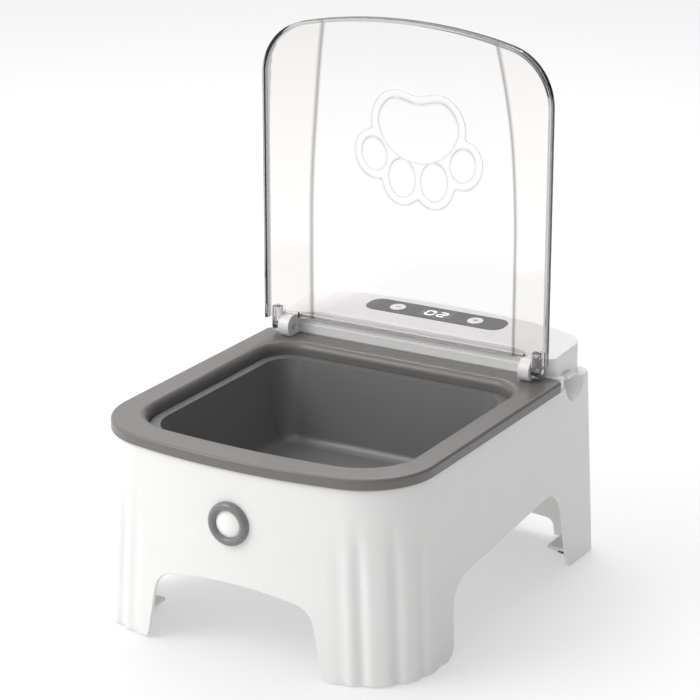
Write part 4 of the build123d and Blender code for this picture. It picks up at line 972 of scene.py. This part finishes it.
# ---------------------------------------------------------------- lid
@dataclass
class Lid:
    """The clear lid: a raised middle panel, two sloping sides, a skirt, two ears and a relief."""

    finishes: Finishes
    wall: float = 2.0
    start: float = 4.5
    bulge: float = 8.0
    free_height: float = 1.5
    fall_length: float = 72.0
    skirt: float = 5.7
    edge_drop: float = 0.2
    edge_round: float = 1.6
    corner: float = 35.0
    free_bow: float = 14.8
    crease_hinge: float = 69.5
    crease_draw: float = 13.5
    crease_power: float = 2.2
    crease_from: float = 60.0
    crease_run: float = 140.0
    crease_half: float = 0.22
    relief_height: float = 0.6
    relief_bevel: float = 1.5
    # painted shade: width and darkness of the lines painted along the relief's outlines
    relief_line: float = 0.42
    relief_dark: float = 0.85
    relief_margin: float = 6.2
    relief_x: float = 3.6
    relief_blend: float = 1.2
    ear_inset: float = 7.3
    ear_width: float = 5.0
    ear_radius: float = 4.5
    half_pad: tuple = ((15.5, 150.8), (24.0, 144.0), (26.0, 134.0), (20.5, 122.5), (10.5, 115.4))
    pad_ends: tuple = ((0.0, 148.2), (0.0, 113.6))
    half_toes: tuple = ((29.8, 115.2, 7.6, 9.6, 14.0), (10.8, 102.6, 8.2, 11.2, 4.0))
    relief_half: float = 55.0
    relief_lengths: tuple = (75.0, 168.0)
    crease_soft: float = 0.12
    notch_height: float = 16.4
    notch_depth: float = 34.0
    lug_room: float = 8.4
    across_steps: tuple = ((-1, -0.66, 18), (-0.66, 0.72, 132), (0.72, 1, 16))
    along_steps: tuple = ((0, 0.38, 26), (0.38, 0.84, 128), (0.84, 1, 30))
    wing_columns: int = 24
    lip: tuple = ((0.0, 0.4), (0.15, 0.12), (0.5, 0.0), (1.5, 0.0), (1.85, 0.12), (2.0, 0.4))

    def __post_init__(self) -> None:
        """Read the hinge and the outside sizes from the frame."""
        joint = next(j for j in FRAME["joints"] if j["name"] == "lid_hinge")
        self.hinge_y, self.hinge_z = joint["pos_m"][1] / MM, joint["pos_m"][2] / MM
        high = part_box("lid")[1]
        self.half = high.x / MM
        self.reach = high.z / MM - self.hinge_z

    def top_length(self, x: np.ndarray, inset: float) -> np.ndarray:
        """How far the free edge is from the hinge, at a distance from the middle.

        Args:
            x: distances from the middle.
            inset: how far inside the outline.

        Returns:
            The lengths.
        """
        half, radius = self.half - inset, self.corner - inset
        big = (half**2 + self.free_bow**2) / (2 * self.free_bow)
        top = self.reach - inset
        inner = np.sqrt((big - radius) ** 2 - (half - radius) ** 2)
        corner_length = top - big + inner
        tangent = big * (half - radius) / (big - radius)
        across = np.clip(np.abs(x), 0, half)
        bowed = top - big + np.sqrt(big**2 - across**2)
        round_part = corner_length + np.sqrt(np.maximum(radius**2 - (across - half + radius) ** 2, 0))
        return np.where(across < tangent, bowed, round_part)

    def crease(self, length: np.ndarray) -> np.ndarray:
        """How far from the middle the crease runs, at a distance from the hinge."""
        share = np.clip((length - self.crease_from) / self.crease_run, 0, None)
        return self.crease_hinge - self.crease_draw * share**self.crease_power

    def height(self, x: np.ndarray, length: np.ndarray) -> np.ndarray:
        """The height of the outside over the hinge's plane, without the relief.

        Args:
            x: places across the lid.
            length: places along the lid.

        Returns:
            The heights.
        """
        fall = np.clip((length - self.reach + self.fall_length) / self.fall_length, 0, 1)
        middle = self.bulge - (self.bulge - self.free_height) * fall**1.5
        crease = self.crease(length)
        side = middle * (self.half - np.abs(x)) / (self.half - crease) - self.edge_drop
        gap = (middle - side) / 2
        return (middle + side) / 2 - np.sqrt(gap**2 + self.crease_soft**2)

    def relief_gaps(self, x: np.ndarray, length: np.ndarray) -> list[np.ndarray]:
        """Signed distances to the outlines of the paw-shaped relief.

        Args:
            x: places across the lid.
            length: places along the lid.

        Returns:
            The distance inside the outer outline, then the distance outside each inner shape.
        """
        across, along = x - self.relief_x, length
        gaps = [self.pad_gap(across, along)]
        toes = [(side * x, l, a, b, side * lean) for side in (-1, 1) for x, l, a, b, lean in self.half_toes]
        for centre_x, centre_l, a, b, lean in toes:
            c, s = cos(radians(lean)), sin(radians(lean))
            u = (across - centre_x) * c - (along - centre_l) * s
            v = (across - centre_x) * s + (along - centre_l) * c
            scaled = np.sqrt((u / a) ** 2 + (v / b) ** 2)
            slope = np.sqrt((u / a**2) ** 2 + (v / b**2) ** 2) / np.maximum(scaled, 1e-6)
            gaps.append((scaled - 1) / np.maximum(slope, 1e-6))
        blend = self.relief_blend
        union = -np.log(sum(np.exp(-gap / blend) for gap in gaps)) * blend
        return [self.relief_margin - union, *gaps]

    def relief(self, x: np.ndarray, length: np.ndarray) -> np.ndarray:
        """How much higher the relief's raised band stands at a place.

        Args:
            x: places across the lid.
            length: places along the lid.

        Returns:
            The extra heights.
        """
        band = np.ones_like(length)
        for gap in self.relief_gaps(x, length):
            share = np.clip(gap / self.relief_bevel, 0, 1)
            band = band * share * share * (3 - 2 * share)
        return self.relief_height * band

    def pad_gap(self, x: np.ndarray, length: np.ndarray) -> np.ndarray:
        """Distance to the pad's outline, negative inside it.

        Args:
            x: places across the lid.
            length: places along the lid.

        Returns:
            The distances.
        """
        top, bottom = self.pad_ends
        mirrored = [(-x, level) for x, level in reversed(self.half_pad)]
        knots = np.array([*mirrored, top, *self.half_pad, bottom])
        count = len(knots)
        curve = []
        for number in range(count):
            p0, p1, p2, p3 = (knots[(number + k) % count] for k in (-1, 0, 1, 2))
            for t in np.linspace(0, 1, 14)[:-1]:
                bend = (2 * p0 - 5 * p1 + 4 * p2 - p3) * t**2
                twist = (3 * p1 - p0 - 3 * p2 + p3) * t**3
                curve.append(0.5 * (2 * p1 + (p2 - p0) * t + bend + twist))
        curve = np.array(curve)
        where = np.stack([x, length], -1)
        distance = np.full(x.shape, 1e9)
        inside = np.zeros(x.shape, bool)
        for a, b in zip(curve, np.roll(curve, -1, axis=0)):
            along = b - a
            share = np.clip(((where - a) @ along) / (along @ along), 0, 1)
            distance = np.minimum(distance, np.linalg.norm(where - a - share[..., None] * along, axis=-1))
            crosses = (a[1] > where[..., 1]) != (b[1] > where[..., 1])
            climb = along[1] if abs(along[1]) > 1e-9 else 1e-9
            at = a[0] + (where[..., 1] - a[1]) * along[0] / climb
            inside ^= crosses & (where[..., 0] < at)
        return np.where(inside, -distance, distance)

    def sheet(self, inset: float, drop: float, relief: float) -> np.ndarray:
        """A grid of points over the panel.

        Args:
            inset: how far inside the outline.
            drop: how far below the outside.
            relief: the share of the relief's height that shows.

        Returns:
            Rows of points.
        """
        middle = stepped(self.across_steps)
        along = stepped(self.along_steps)
        half = self.half - inset
        grid = []
        for t in along:
            guess = self.start + t * (self.reach - self.start)
            for _ in range(3):
                crease = float(self.crease(np.array([guess]))[0])
                guess = self.start + t * (float(self.top_length(np.array([crease]), inset)[0]) - self.start)
            edge = crease + self.crease_half
            wing = edge + (half - edge) * np.sin(np.linspace(0, pi / 2, self.wing_columns))
            x = np.concatenate([-wing[::-1], middle * (crease - self.crease_half), wing])
            length = self.start + t * (self.top_length(x, inset) - self.start)
            y = self.hinge_y + self.height(x, length) - drop + relief * self.relief(x, length)
            grid.append(np.column_stack([x, y, self.hinge_z + length]))
        return np.array(grid)

    def build_panel(self) -> bpy.types.Object:
        """The lid's one closed moulding, without its ears.

        Returns:
            The piece.
        """
        outer = self.sheet(self.edge_round, 0.0, 1.0)
        inner = self.sheet(self.wall + 0.5, self.wall, 0.0)
        rows, count = outer.shape[:2]
        points = [outer.reshape(-1, 3), inner.reshape(-1, 3)]
        faces = []
        for base in (0, rows * count):
            for r in range(rows - 1):
                for c in range(count - 1):
                    a = base + r * count + c
                    faces.append([a, a + 1, a + count + 1, a + count])
        ring = [(r, 0) for r in range(rows)] + [(rows - 1, c) for c in range(1, count)]
        ring += [(r, count - 1) for r in range(rows - 2, -1, -1)]
        places = np.array([outer[r, c] for r, c in ring])
        inner_places = np.array([inner[r, c] for r, c in ring])
        flat = places[:, [0, 2]]
        run = np.gradient(flat, axis=0)
        normal = np.column_stack([-run[:, 1], run[:, 0]])
        normal /= np.maximum(np.linalg.norm(normal, axis=1)[:, None], 1e-9)
        normal[0], normal[-1] = (-1, 0), (1, 0)
        bottom = self.hinge_y - self.skirt
        strips = []
        radius = self.edge_round
        for angle in QUARTER_TURN:
            out, fall = radius * sin(angle), radius * (1 - cos(angle))
            strips.append(self.edge_ring(flat, normal, out, places[:, 1] - fall))
        side_top = places[:, 1] - radius
        for share in (0.35, 0.7):
            strips.append(self.edge_ring(flat, normal, radius, side_top + (bottom + 0.4 - side_top) * share))
        for inward, rise in self.lip:
            strips.append(self.edge_ring(flat, normal, radius - inward, np.full(len(flat), bottom + rise)))
        inner_top = inner_places[:, 1] - 0.5
        for share in (0.3, 0.65, 1.0):
            level = bottom + 0.4 + (inner_top - bottom - 0.4) * share
            strips.append(self.edge_ring(flat, normal, radius - 2.0, level))
        base = 2 * rows * count
        ids = [[r * count + c for r, c in ring]]
        for strip in strips:
            points.append(strip)
            ids.append(list(range(base, base + len(strip))))
            base += len(strip)
        ids.append([rows * count + r * count + c for r, c in ring])
        for upper, lower in zip(ids, ids[1:]):
            for k in range(len(ring) - 1):
                faces.append([upper[k], upper[k + 1], lower[k + 1], lower[k]])
        for c in range(count - 1):
            faces.append([c, c + 1, rows * count + c + 1, rows * count + c])
        faces.append([line[0] for line in ids])
        faces.append([line[-1] for line in reversed(ids)])
        return new_mesh("lid_shell", np.concatenate(points), faces, 40.0)

    @staticmethod
    def edge_ring(flat: np.ndarray, normal: np.ndarray, out: float, level: np.ndarray) -> np.ndarray:
        """The lid's edge line, moved outwards and set at a level."""
        moved = flat + normal * out
        return np.column_stack([moved[:, 0], level, moved[:, 1]])

    def cut_notches(self, piece: bpy.types.Object) -> None:
        """Cut room for the hinge's lugs and for the shafts.

        Args:
            piece: the lid.
        """
        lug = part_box("hinge_bushes")[1].x / MM
        ear = self.half - self.ear_inset
        far = ear - self.ear_width / 2
        for side in (-1, 1):
            centre = side * (far + lug - self.lug_room) / 2
            size = (far - lug + self.lug_room, self.notch_depth, self.notch_height)
            cutter = box_piece("notch", (centre, self.hinge_y, self.hinge_z), size)
            carve(piece, cutter, "DIFFERENCE")

    def add_ears(self, piece: bpy.types.Object) -> None:
        """Join the two ears around the hinge's shafts.

        Args:
            piece: the lid.
        """
        for side in (-1, 1):
            carve(piece, self.ear(side * (self.half - self.ear_inset)), "UNION")

    def ear(self, x: float) -> bpy.types.Object:
        """One ear: a round eye that widens into the lid's edge.

        Args:
            x: where its middle is.

        Returns:
            The ear.
        """
        radius = self.ear_radius
        profile = [(radius * cos(angle), radius * sin(angle)) for angle in np.linspace(-pi, 0.0, 25)]
        profile += [(radius * 0.9, 5.5), (3.6, 9.0), (2.4, 12.0), (-4.4, 12.0)]
        count = len(profile)
        sides = (x - self.ear_width / 2, x + self.ear_width / 2)
        points = [(place, self.hinge_y + y, self.hinge_z + z) for place in sides for y, z in profile]
        faces = [list(range(count)), list(range(2 * count - 1, count - 1, -1))]
        faces += [[k, (k + 1) % count, count + (k + 1) % count, count + k] for k in range(count)]
        return new_mesh("ear", np.array(points), faces)

    def dress_zones(self, piece: bpy.types.Object) -> None:
        """Give the panel, its sides and its edge their own tint, with painted shade on the sides and on the
        edge.

        Args:
            piece: the lid.
        """
        zones = [self.finishes.get("clear_lid")]
        zones += [self.finishes.get(zone.name.lower(), zone.value) for zone in LidPaintedShade]
        dress(piece, zones)
        faces = piece.data.polygons
        centre = np.array([tuple(face.center) for face in faces]) / MM
        normal = np.array([tuple(face.normal) for face in faces])
        across, length = centre[:, 0], centre[:, 2] - self.hinge_z
        # painted shade: faces outside the creases get the darker side tint
        zone = np.where(np.abs(across) > self.crease(length), 1, 0)
        # painted shade: faces that stand on edge or hang below the hinge get the dark edge tint
        low = (np.abs(normal[:, 1]) < 0.5) | (centre[:, 1] < self.hinge_y - 1.5)
        zone = np.where(low, 2, zone)
        faces.foreach_set("material_index", zone.astype(np.int32))
        self.draw_lines(piece)

    def draw_lines(self, piece: bpy.types.Object) -> None:
        """Paint shade along the creases and the relief's outlines on the outside, as dark lines where the
        clear plastic looks darker.

        Args:
            piece: the lid.
        """
        count = len(piece.data.vertices)
        points = np.empty(count * 3)
        piece.data.vertices.foreach_get("co", points)
        points = points.reshape(-1, 3) / MM
        across, length = points[:, 0], points[:, 2] - self.hinge_z
        # painted shade: a dark line along each crease
        near_crease = np.abs(np.abs(across) - self.crease(length)) < self.crease_half + 0.05
        line = np.where(near_crease, 1.0, 0.0)
        above = points[:, 1] > self.hinge_y + self.height(across, length) - 0.5
        first, last = self.relief_lengths
        around = (np.abs(across) < self.relief_half) & (length > first) & (length < last)
        mark = np.flatnonzero(around & above)
        # painted shade: a dark line along each outline of the relief
        for gap in self.relief_gaps(across[mark], length[mark]):
            drawn = np.exp(-(((gap - self.relief_bevel / 2) / self.relief_line) ** 2))
            line[mark] = np.maximum(line[mark], self.relief_dark * drawn)
        layer = piece.data.attributes.new(SHADE_LINE_LAYER, "FLOAT", "POINT")
        layer.data.foreach_set("value", line.astype(np.float32))

    def build(self) -> None:
        """Build the lid and hand it over."""
        piece = self.build_panel()
        self.cut_notches(piece)
        self.add_ears(piece)
        piece.data.shade_smooth()
        piece.data.set_sharp_from_angle(angle=radians(32))
        self.dress_zones(piece)
        hand_over(piece, "lid", ["lid"])


# ---------------------------------------------------------------- small solids and cuts
def box_piece(name: str, centre: Sequence[float], size: Sequence[float]) -> bpy.types.Object:
    """A block used as a cutter, in millimetres.

    Args:
        name: its name.
        centre: its middle.
        size: its three sizes.

    Returns:
        The block.
    """
    signs = np.array([(i, j, k) for i in (-0.5, 0.5) for j in (-0.5, 0.5) for k in (-0.5, 0.5)])
    points = np.array(centre) + signs * np.array(size)
    faces = [[0, 1, 3, 2], [4, 6, 7, 5], [0, 4, 5, 1], [2, 3, 7, 6], [0, 2, 6, 4], [1, 5, 7, 3]]
    return new_mesh(name, points, faces)


def carve(piece: bpy.types.Object, tool: bpy.types.Object, operation: str) -> None:
    """Cut or join a tool, which is used up.

    Args:
        piece: the piece that changes.
        tool: the tool.
        operation: DIFFERENCE, UNION or INTERSECT.
    """
    modifier = piece.modifiers.new("carve", "BOOLEAN")
    modifier.object = tool
    modifier.operation = operation
    modifier.solver = "EXACT"
    bake_modifiers(piece)
    bpy.data.objects.remove(tool)


def bake_modifiers(piece: bpy.types.Object) -> None:
    """Turn a piece's modifiers into its mesh.

    Args:
        piece: the piece.
    """
    graph = bpy.context.evaluated_depsgraph_get()
    mesh = bpy.data.meshes.new_from_object(piece.evaluated_get(graph))
    piece.modifiers.clear()
    piece.data = mesh


def slab(plane: "PanelPlane", outline: np.ndarray, low: float, high: float) -> tuple:
    """Points and faces of a flat plate on the panel.

    Args:
        plane: the panel's plane.
        outline: closed outline in the plane.
        low: the underside's level.
        high: the top's level.

    Returns:
        Points and faces.
    """
    count = len(outline)
    points = [plane.at(u, v, level) for level in (low, high) for u, v in outline]
    faces = [list(range(count))[::-1], list(range(count, 2 * count))]
    faces += [[k, (k + 1) % count, count + (k + 1) % count, count + k] for k in range(count)]
    return points, faces


def join_slabs(name: str, slabs: Sequence[tuple]) -> bpy.types.Object:
    """One piece from several plates.

    Args:
        name: the piece's name.
        slabs: points and faces of each plate.

    Returns:
        The piece.
    """
    points: list = []
    faces: list = []
    for plate_points, plate_faces in slabs:
        base = len(points)
        points += plate_points
        faces += [[base + k for k in face] for face in plate_faces]
    return new_mesh(name, np.array(points), faces, 30.0)


@dataclass
class PanelPlane:
    """The plane of the control strip's surface."""

    tilt: float = 3.0

    def __post_init__(self) -> None:
        """Find the middle of the strip's top from the frame."""
        low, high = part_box("control_strip")
        middle = (low + high) / 2 / MM
        half_depth = (high.y - low.y) / 2 / MM
        self.normal = np.array([0, -sin(radians(self.tilt)), cos(radians(self.tilt))])
        self.rise = np.array([0, cos(radians(self.tilt)), sin(radians(self.tilt))])
        top = high.z / MM - sin(radians(self.tilt)) * half_depth
        self.origin = np.array([middle.x, middle.y, top])

    def at(self, u: float, v: float, level: float) -> np.ndarray:
        """A point across, up and above the strip's surface."""
        return self.origin + np.array([u, 0, 0]) + self.rise * v + self.normal * level


# ---------------------------------------------------------------- controls
@dataclass
class Controls:
    """The lit digits on the display and the signs on the two keys."""

    finishes: Finishes
    digits: str = "02"
    digit_height: float = 8.2
    digit_width: float = 6.6
    digit_gap: float = 1.7
    stroke: float = 1.5
    slant: float = 0.06
    proud: float = 0.05
    sign_size: float = 4.2
    sign_stroke: float = 0.8
    sign_levels: tuple = (0.2, 0.34)
    segments: dict = field(default_factory=lambda: {"0": "abcdef", "2": "abged"})

    def bar(self, start: tuple, end: tuple, width: float) -> np.ndarray:
        """A straight stroke with pointed ends.

        Args:
            start: its first end.
            end: its other end.
            width: its width.

        Returns:
            Its outline.
        """
        a, b = np.array(start, float), np.array(end, float)
        way = (b - a) / np.linalg.norm(b - a)
        side = np.array([-way[1], way[0]]) * width / 2
        tip = way * width / 2
        return np.array([a, a + tip - side, b - tip - side, b, b - tip + side, a + tip + side])

    def digit(self, sign: str, left: float) -> list[np.ndarray]:
        """The strokes of one digit.

        Args:
            sign: the digit.
            left: where its left strokes are.

        Returns:
            An outline for each stroke.
        """
        width, top = self.digit_width - self.stroke, (self.digit_height - self.stroke) / 2
        near, far = left, left + width
        ends = {
            "a": ((near, top), (far, top)),
            "b": ((far, top), (far, 0.0)),
            "c": ((far, 0.0), (far, -top)),
            "d": ((near, -top), (far, -top)),
            "e": ((near, 0.0), (near, -top)),
            "f": ((near, top), (near, 0.0)),
            "g": ((near, 0.0), (far, 0.0)),
        }
        strokes = []
        for segment in self.segments[sign]:
            start, end = ((x + self.slant * y, y) for x, y in ends[segment])
            strokes.append(self.bar(start, end, self.stroke))
        return strokes

    def build(self) -> None:
        """Build the digits and the signs and hand them over."""
        plane = PanelPlane()
        pitch = self.digit_width + self.digit_gap
        strokes = []
        for number, sign in enumerate(self.digits):
            left = -pitch / 2 - (self.digit_width - self.stroke) / 2 + number * pitch
            strokes += self.digit(sign, left)
        lit = join_slabs("digits", [slab(plane, stroke, -self.proud, self.proud) for stroke in strokes])
        dress(lit, [self.finishes.get("digit_light", Lamp((0.92, 0.93, 0.94), 0.5))])
        hand_over(lit, "stand")
        for name, body, upright in (("plus_button", "plus_key", True), ("mode_button", "mode_key", False)):
            low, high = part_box(name)
            x = (low.x + high.x) / 2 / MM
            reach = self.sign_size / 2
            bars = [self.bar((x - reach, 0), (x + reach, 0), self.sign_stroke)]
            if upright:
                bars.append(self.bar((x, -reach), (x, reach), self.sign_stroke))
            low, high = self.sign_levels
            plates = [slab(plane, bar, low, high + 0.01 * k) for k, bar in enumerate(bars)]
            marks = join_slabs(name + "_sign", plates)
            ink = Moulding((0.22, 0.22, 0.22), roughness=0.4, coat=0.0)
            dress(marks, [self.finishes.get("sign_ink", ink)])
            hand_over(marks, body)


# ---------------------------------------------------------------- what repeats
class Copies:
    """A Geometry Nodes tree that puts one shape at every vertex of a carrier."""

    def __init__(self, name: str, inputs: dict[str, float]) -> None:
        self.tree = bpy.data.node_groups.new(name, "GeometryNodeTree")
        face = self.tree.interface
        face.new_socket("Geometry", in_out="INPUT", socket_type="NodeSocketGeometry")
        face.new_socket("Geometry", in_out="OUTPUT", socket_type="NodeSocketGeometry")
        self.sockets = {}
        for label, value in inputs.items():
            made = face.new_socket(label, in_out="INPUT", socket_type="NodeSocketFloat")
            made.default_value = value
            self.sockets[label] = made.identifier
        self.start = self.tree.nodes.new("NodeGroupInput")
        self.end = self.tree.nodes.new("NodeGroupOutput")

    def node(self, kind: str, inputs: dict, **settings: object) -> bpy.types.Node:
        """Make a node, set it up and connect it.

        Args:
            kind: the node's type.
            inputs: values, output sockets, or names of the tree's inputs.
            settings: the node's properties.

        Returns:
            The node.
        """
        made = self.tree.nodes.new(kind)
        for name, value in settings.items():
            setattr(made, name, value)
        for name, value in inputs.items():
            if isinstance(value, bpy.types.NodeSocket):
                self.tree.links.new(value, made.inputs[name])
            elif isinstance(value, str):
                self.tree.links.new(self.start.outputs[value], made.inputs[name])
            else:
                made.inputs[name].default_value = value
        return made

    def spread(self, shape: bpy.types.NodeSocket, material: bpy.types.Material) -> None:
        """Put the shape at every vertex, make it real and give it its material.

        Args:
            shape: the shape.
            material: its material.
        """
        points = self.node("GeometryNodeInstanceOnPoints", {"Points": "Geometry", "Instance": shape})
        real = self.node("GeometryNodeRealizeInstances", {"Geometry": points.outputs[0]})
        made = self.node("GeometryNodeSetMaterial", {"Geometry": real.outputs[0], "Material": material})
        self.tree.links.new(made.outputs[0], self.end.inputs[0])

    def grow(self, name: str, places: np.ndarray, values: dict[str, float], smooth: bool) -> bpy.types.Object:
        """Run the tree on a carrier and keep the result as a plain mesh.

        Args:
            name: the piece's name.
            places: where the copies go, in millimetres.
            values: the tree's inputs in metres.
            smooth: whether the result is shaded smooth.

        Returns:
            The piece.
        """
        mesh = bpy.data.meshes.new(name)
        mesh.from_pydata((np.asarray(places) * MM).tolist(), [], [])
        piece = bpy.data.objects.new(name, mesh)
        bpy.context.scene.collection.objects.link(piece)
        modifier = piece.modifiers.new("copies", "NODES")
        modifier.node_group = self.tree
        for label, value in values.items():
            modifier[self.sockets[label]] = value
        bake_modifiers(piece)
        if smooth:
            piece.data.shade_smooth()
            piece.data.set_sharp_from_angle(angle=radians(35))
        return piece


@dataclass
class Underside:
    """Treads on the rubber feet and grips on the battery door."""

    finishes: Finishes
    tread_radii: tuple = (1.6, 3.2, 4.6)
    tread_wire: float = 0.35
    grip_count: int = 7
    grip_pitch: float = 3.6
    grip_out: float = 36.0
    grip_size: tuple = (20.0, 1.1, 1.1)

    def feet(self) -> np.ndarray:
        """The middles of the four feet.

        Returns:
            One row for each foot, in millimetres.
        """
        mesh = FRAME["nodes"]["rubber_feet"].data
        points = np.array([v.co for v in mesh.vertices]) / MM
        places = []
        for left in (True, False):
            for front in (True, False):
                keep = ((points[:, 0] < 0) == left) & ((points[:, 1] < 0) == front)
                group = points[keep]
                places.append([*(group.min(0) + group.max(0))[:2] / 2, 0.0])
        return np.array(places)

    def build_treads(self) -> None:
        """Rings moulded into the soles of the feet."""
        rubber = self.finishes.get("pad_rubber")
        copies = Copies("tread", {"Radius": 0.003, "Wire": 0.0003})
        circle = copies.node("GeometryNodeCurvePrimitiveCircle", {"Resolution": 40, "Radius": "Radius"})
        profile = copies.node("GeometryNodeCurvePrimitiveCircle", {"Resolution": 8, "Radius": "Wire"})
        tube = copies.node(
            "GeometryNodeCurveToMesh", {"Curve": circle.outputs[0], "Profile Curve": profile.outputs[0]}
        )
        copies.spread(tube.outputs[0], rubber)
        feet = self.feet() + np.array([0, 0, self.tread_wire])
        for number, radius in enumerate(self.tread_radii):
            values = {"Radius": radius * MM, "Wire": self.tread_wire * MM}
            piece = copies.grow(f"tread_{number}", feet, values, True)
            hand_over(piece, "stand")

    def build_grips(self) -> None:
        """Ribs across the battery door for a thumb."""
        plastic = self.finishes.get("base_white")
        copies = Copies("grip", {"Length": 0.02, "Width": 0.001, "Height": 0.001})
        size = copies.node("ShaderNodeCombineXYZ", {"X": "Length", "Y": "Width", "Z": "Height"})
        block = copies.node("GeometryNodeMeshCube", {"Size": size.outputs[0]})
        block.inputs["Vertices X"].default_value = 9
        copies.spread(block.outputs[0], plastic)
        low, high = (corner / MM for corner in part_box("battery_door"))
        rows = (np.arange(self.grip_count) - (self.grip_count - 1) / 2) * self.grip_pitch
        middle = (low.y + high.y) / 2
        for way in (-1, 1):
            places = np.array([[way * self.grip_out, middle + row, low.z] for row in rows])
            values = dict(zip(("Length", "Width", "Height"), (side * MM for side in self.grip_size)))
            piece = copies.grow("grips_left" if way < 0 else "grips_right", places, values, False)
            hand_over(piece, "bay_door")

    def build(self) -> None:
        """Build both."""
        self.build_treads()
        self.build_grips()


# ---------------------------------------------------------------- the frame's own parts
@dataclass
class LegCaps:
    """The plates across the legs' soles, trimmed back to the feet that they hold."""

    finishes: Finishes
    keep: float = 9.0
    beyond: tuple = (110.0, 140.0, 30.0)

    def build(self) -> None:
        """Trim a copy of the plates and hand it over."""
        source = FRAME["nodes"]["leg_caps"]
        piece = bpy.data.objects.new("leg_soles", source.data.copy())
        bpy.context.scene.collection.objects.link(piece)
        work = bmesh.new()
        work.from_mesh(piece.data)
        bmesh.ops.remove_doubles(work, verts=work.verts, dist=0.000005)
        work.to_mesh(piece.data)
        work.free()
        tools = []
        for x, y, _ in Underside(self.finishes).feet():
            near_x, near_y = x - np.sign(x) * self.keep, y - np.sign(y) * self.keep
            far_x, far_y = np.sign(x) * self.beyond[0], np.sign(y) * self.beyond[1]
            centre = ((near_x + far_x) / 2, (near_y + far_y) / 2, 0)
            size = (abs(far_x - near_x), abs(far_y - near_y), self.beyond[2])
            tools.append(box_piece("sole", centre, size))
        for tool in tools[1:]:
            carve(tools[0], tool, "UNION")
        carve(piece, tools[0], "INTERSECT")
        piece.data.set_sharp_from_angle(angle=radians(30))
        dress(piece, [self.finishes.get("base_white")])
        hand_over(piece, "stand", ["leg_caps"])


@dataclass
class Carried:
    """The frame's parts that keep their shape and get their finish here."""

    finishes: Finishes

    def build(self) -> None:
        """Dress every part with the finish of its slot."""
        for part in FRAME["record"]["subparts"]:
            node = FRAME["nodes"][part["node"]]
            dress(node, [self.finishes.get(part["material_slot"])])
            LOG.info("%s: dressed as %s", part["node"], part["material_slot"])


# ---------------------------------------------------------------- studio
@dataclass
class Studio:
    """A plain pale floor, soft light and the camera."""

    azimuth: float = 30.3
    elevation: float = 18.88
    lens: float = 138.39
    distance: float = 1556.58
    target: tuple = (3.48, -3.29, 147.77)
    floor_colour: Colour = (0.57, 0.57, 0.57)
    floor_glow: float = 0.36
    floor_reach: float = 6000.0
    lamp_size: float = 0.9
    lamp_aim: tuple = (0.0, 0.0, 0.08)
    lamps: tuple = (("key", (-0.85, -0.95, 1.15), 8.5), ("top", (-0.35, 0.75, 1.20), 6.5))
    sky: float = 0.39
    sky_lean: float = 0.88
    sky_least: float = 0.06
    sky_towards: tuple = (-0.66, -0.18, 0.73)

    def build_floor(self) -> None:
        """A wide floor."""
        reach = self.floor_reach
        corners = [[-reach, -reach, 0], [reach, -reach, 0], [reach, reach, 0], [-reach, reach, 0]]
        floor = new_mesh("floor", np.array(corners), [[0, 1, 2, 3]])
        tree = ShaderTree("floor_paint")
        cloud = tree.noise(3.0, 2.0)
        colour = tree.blend(cloud, shade(self.floor_colour, 0.995), shade(self.floor_colour, 1.005))
        paint = tree.finish(
            Base_Color=colour,
            Roughness=0.85,
            Emission_Color=WHITE,
            Emission_Strength=self.floor_glow,
        )
        dress(floor, [paint])

    def build_light(self) -> None:
        """A sky that is brighter on the left, and two large soft lamps."""
        tree = ShaderTree("sky", world=True)
        bpy.context.scene.world = tree.owner
        where = tree.node("ShaderNodeTexCoord", output="Generated")
        lean = tree.node(
            "ShaderNodeVectorMath", {"operation": "DOT_PRODUCT"}, {0: where, 1: self.sky_towards}, "Value"
        )
        wanted = lean * self.sky_lean + self.sky
        strength = tree.node("ShaderNodeMath", {"operation": "MAXIMUM"}, {0: wanted, 1: self.sky_least})
        glow = tree.node("ShaderNodeBackground", {}, {"Color": WHITE, "Strength": strength})
        tree.close(glow, "ShaderNodeOutputWorld")
        for name, place, energy in self.lamps:
            data = bpy.data.lights.new(name, "AREA")
            data.energy = energy
            data.size = self.lamp_size
            lamp = bpy.data.objects.new(name, data)
            bpy.context.scene.collection.objects.link(lamp)
            lamp.location = Vector(place)
            way = Vector(self.lamp_aim) - lamp.location
            lamp.rotation_euler = way.to_track_quat("-Z", "Y").to_euler()

    def build_camera(self) -> None:
        """The camera."""
        data = bpy.data.cameras.new("camera")
        data.lens = self.lens
        data.sensor_width = 36.0
        data.clip_end = 50.0
        camera = bpy.data.objects.new("camera", data)
        bpy.context.scene.collection.objects.link(camera)
        a, e = radians(self.azimuth), radians(self.elevation)
        target = Vector(self.target) * MM
        way = Vector((sin(a) * cos(e), -cos(a) * cos(e), sin(e)))
        camera.location = target + way * self.distance * MM
        camera.rotation_euler = (-way).to_track_quat("-Z", "Y").to_euler()
        bpy.context.scene.camera = camera

    def build(self) -> None:
        """Build floor, light and camera."""
        bpy.context.scene.view_settings.view_transform = "Standard"
        self.build_floor()
        self.build_light()
        self.build_camera()


def main() -> None:
    """Build everything in order."""
    logging.basicConfig(level=logging.INFO, format="%(name)s %(message)s")
    finishes = Finishes()
    Studio().build()
    for assembly in (Carried, Shell, LegCaps, Lid, Controls, Underside):
        assembly(finishes).build()


FRAME: dict = {}

if __name__ == "__main__":
    FRAME.update(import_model())
    main()
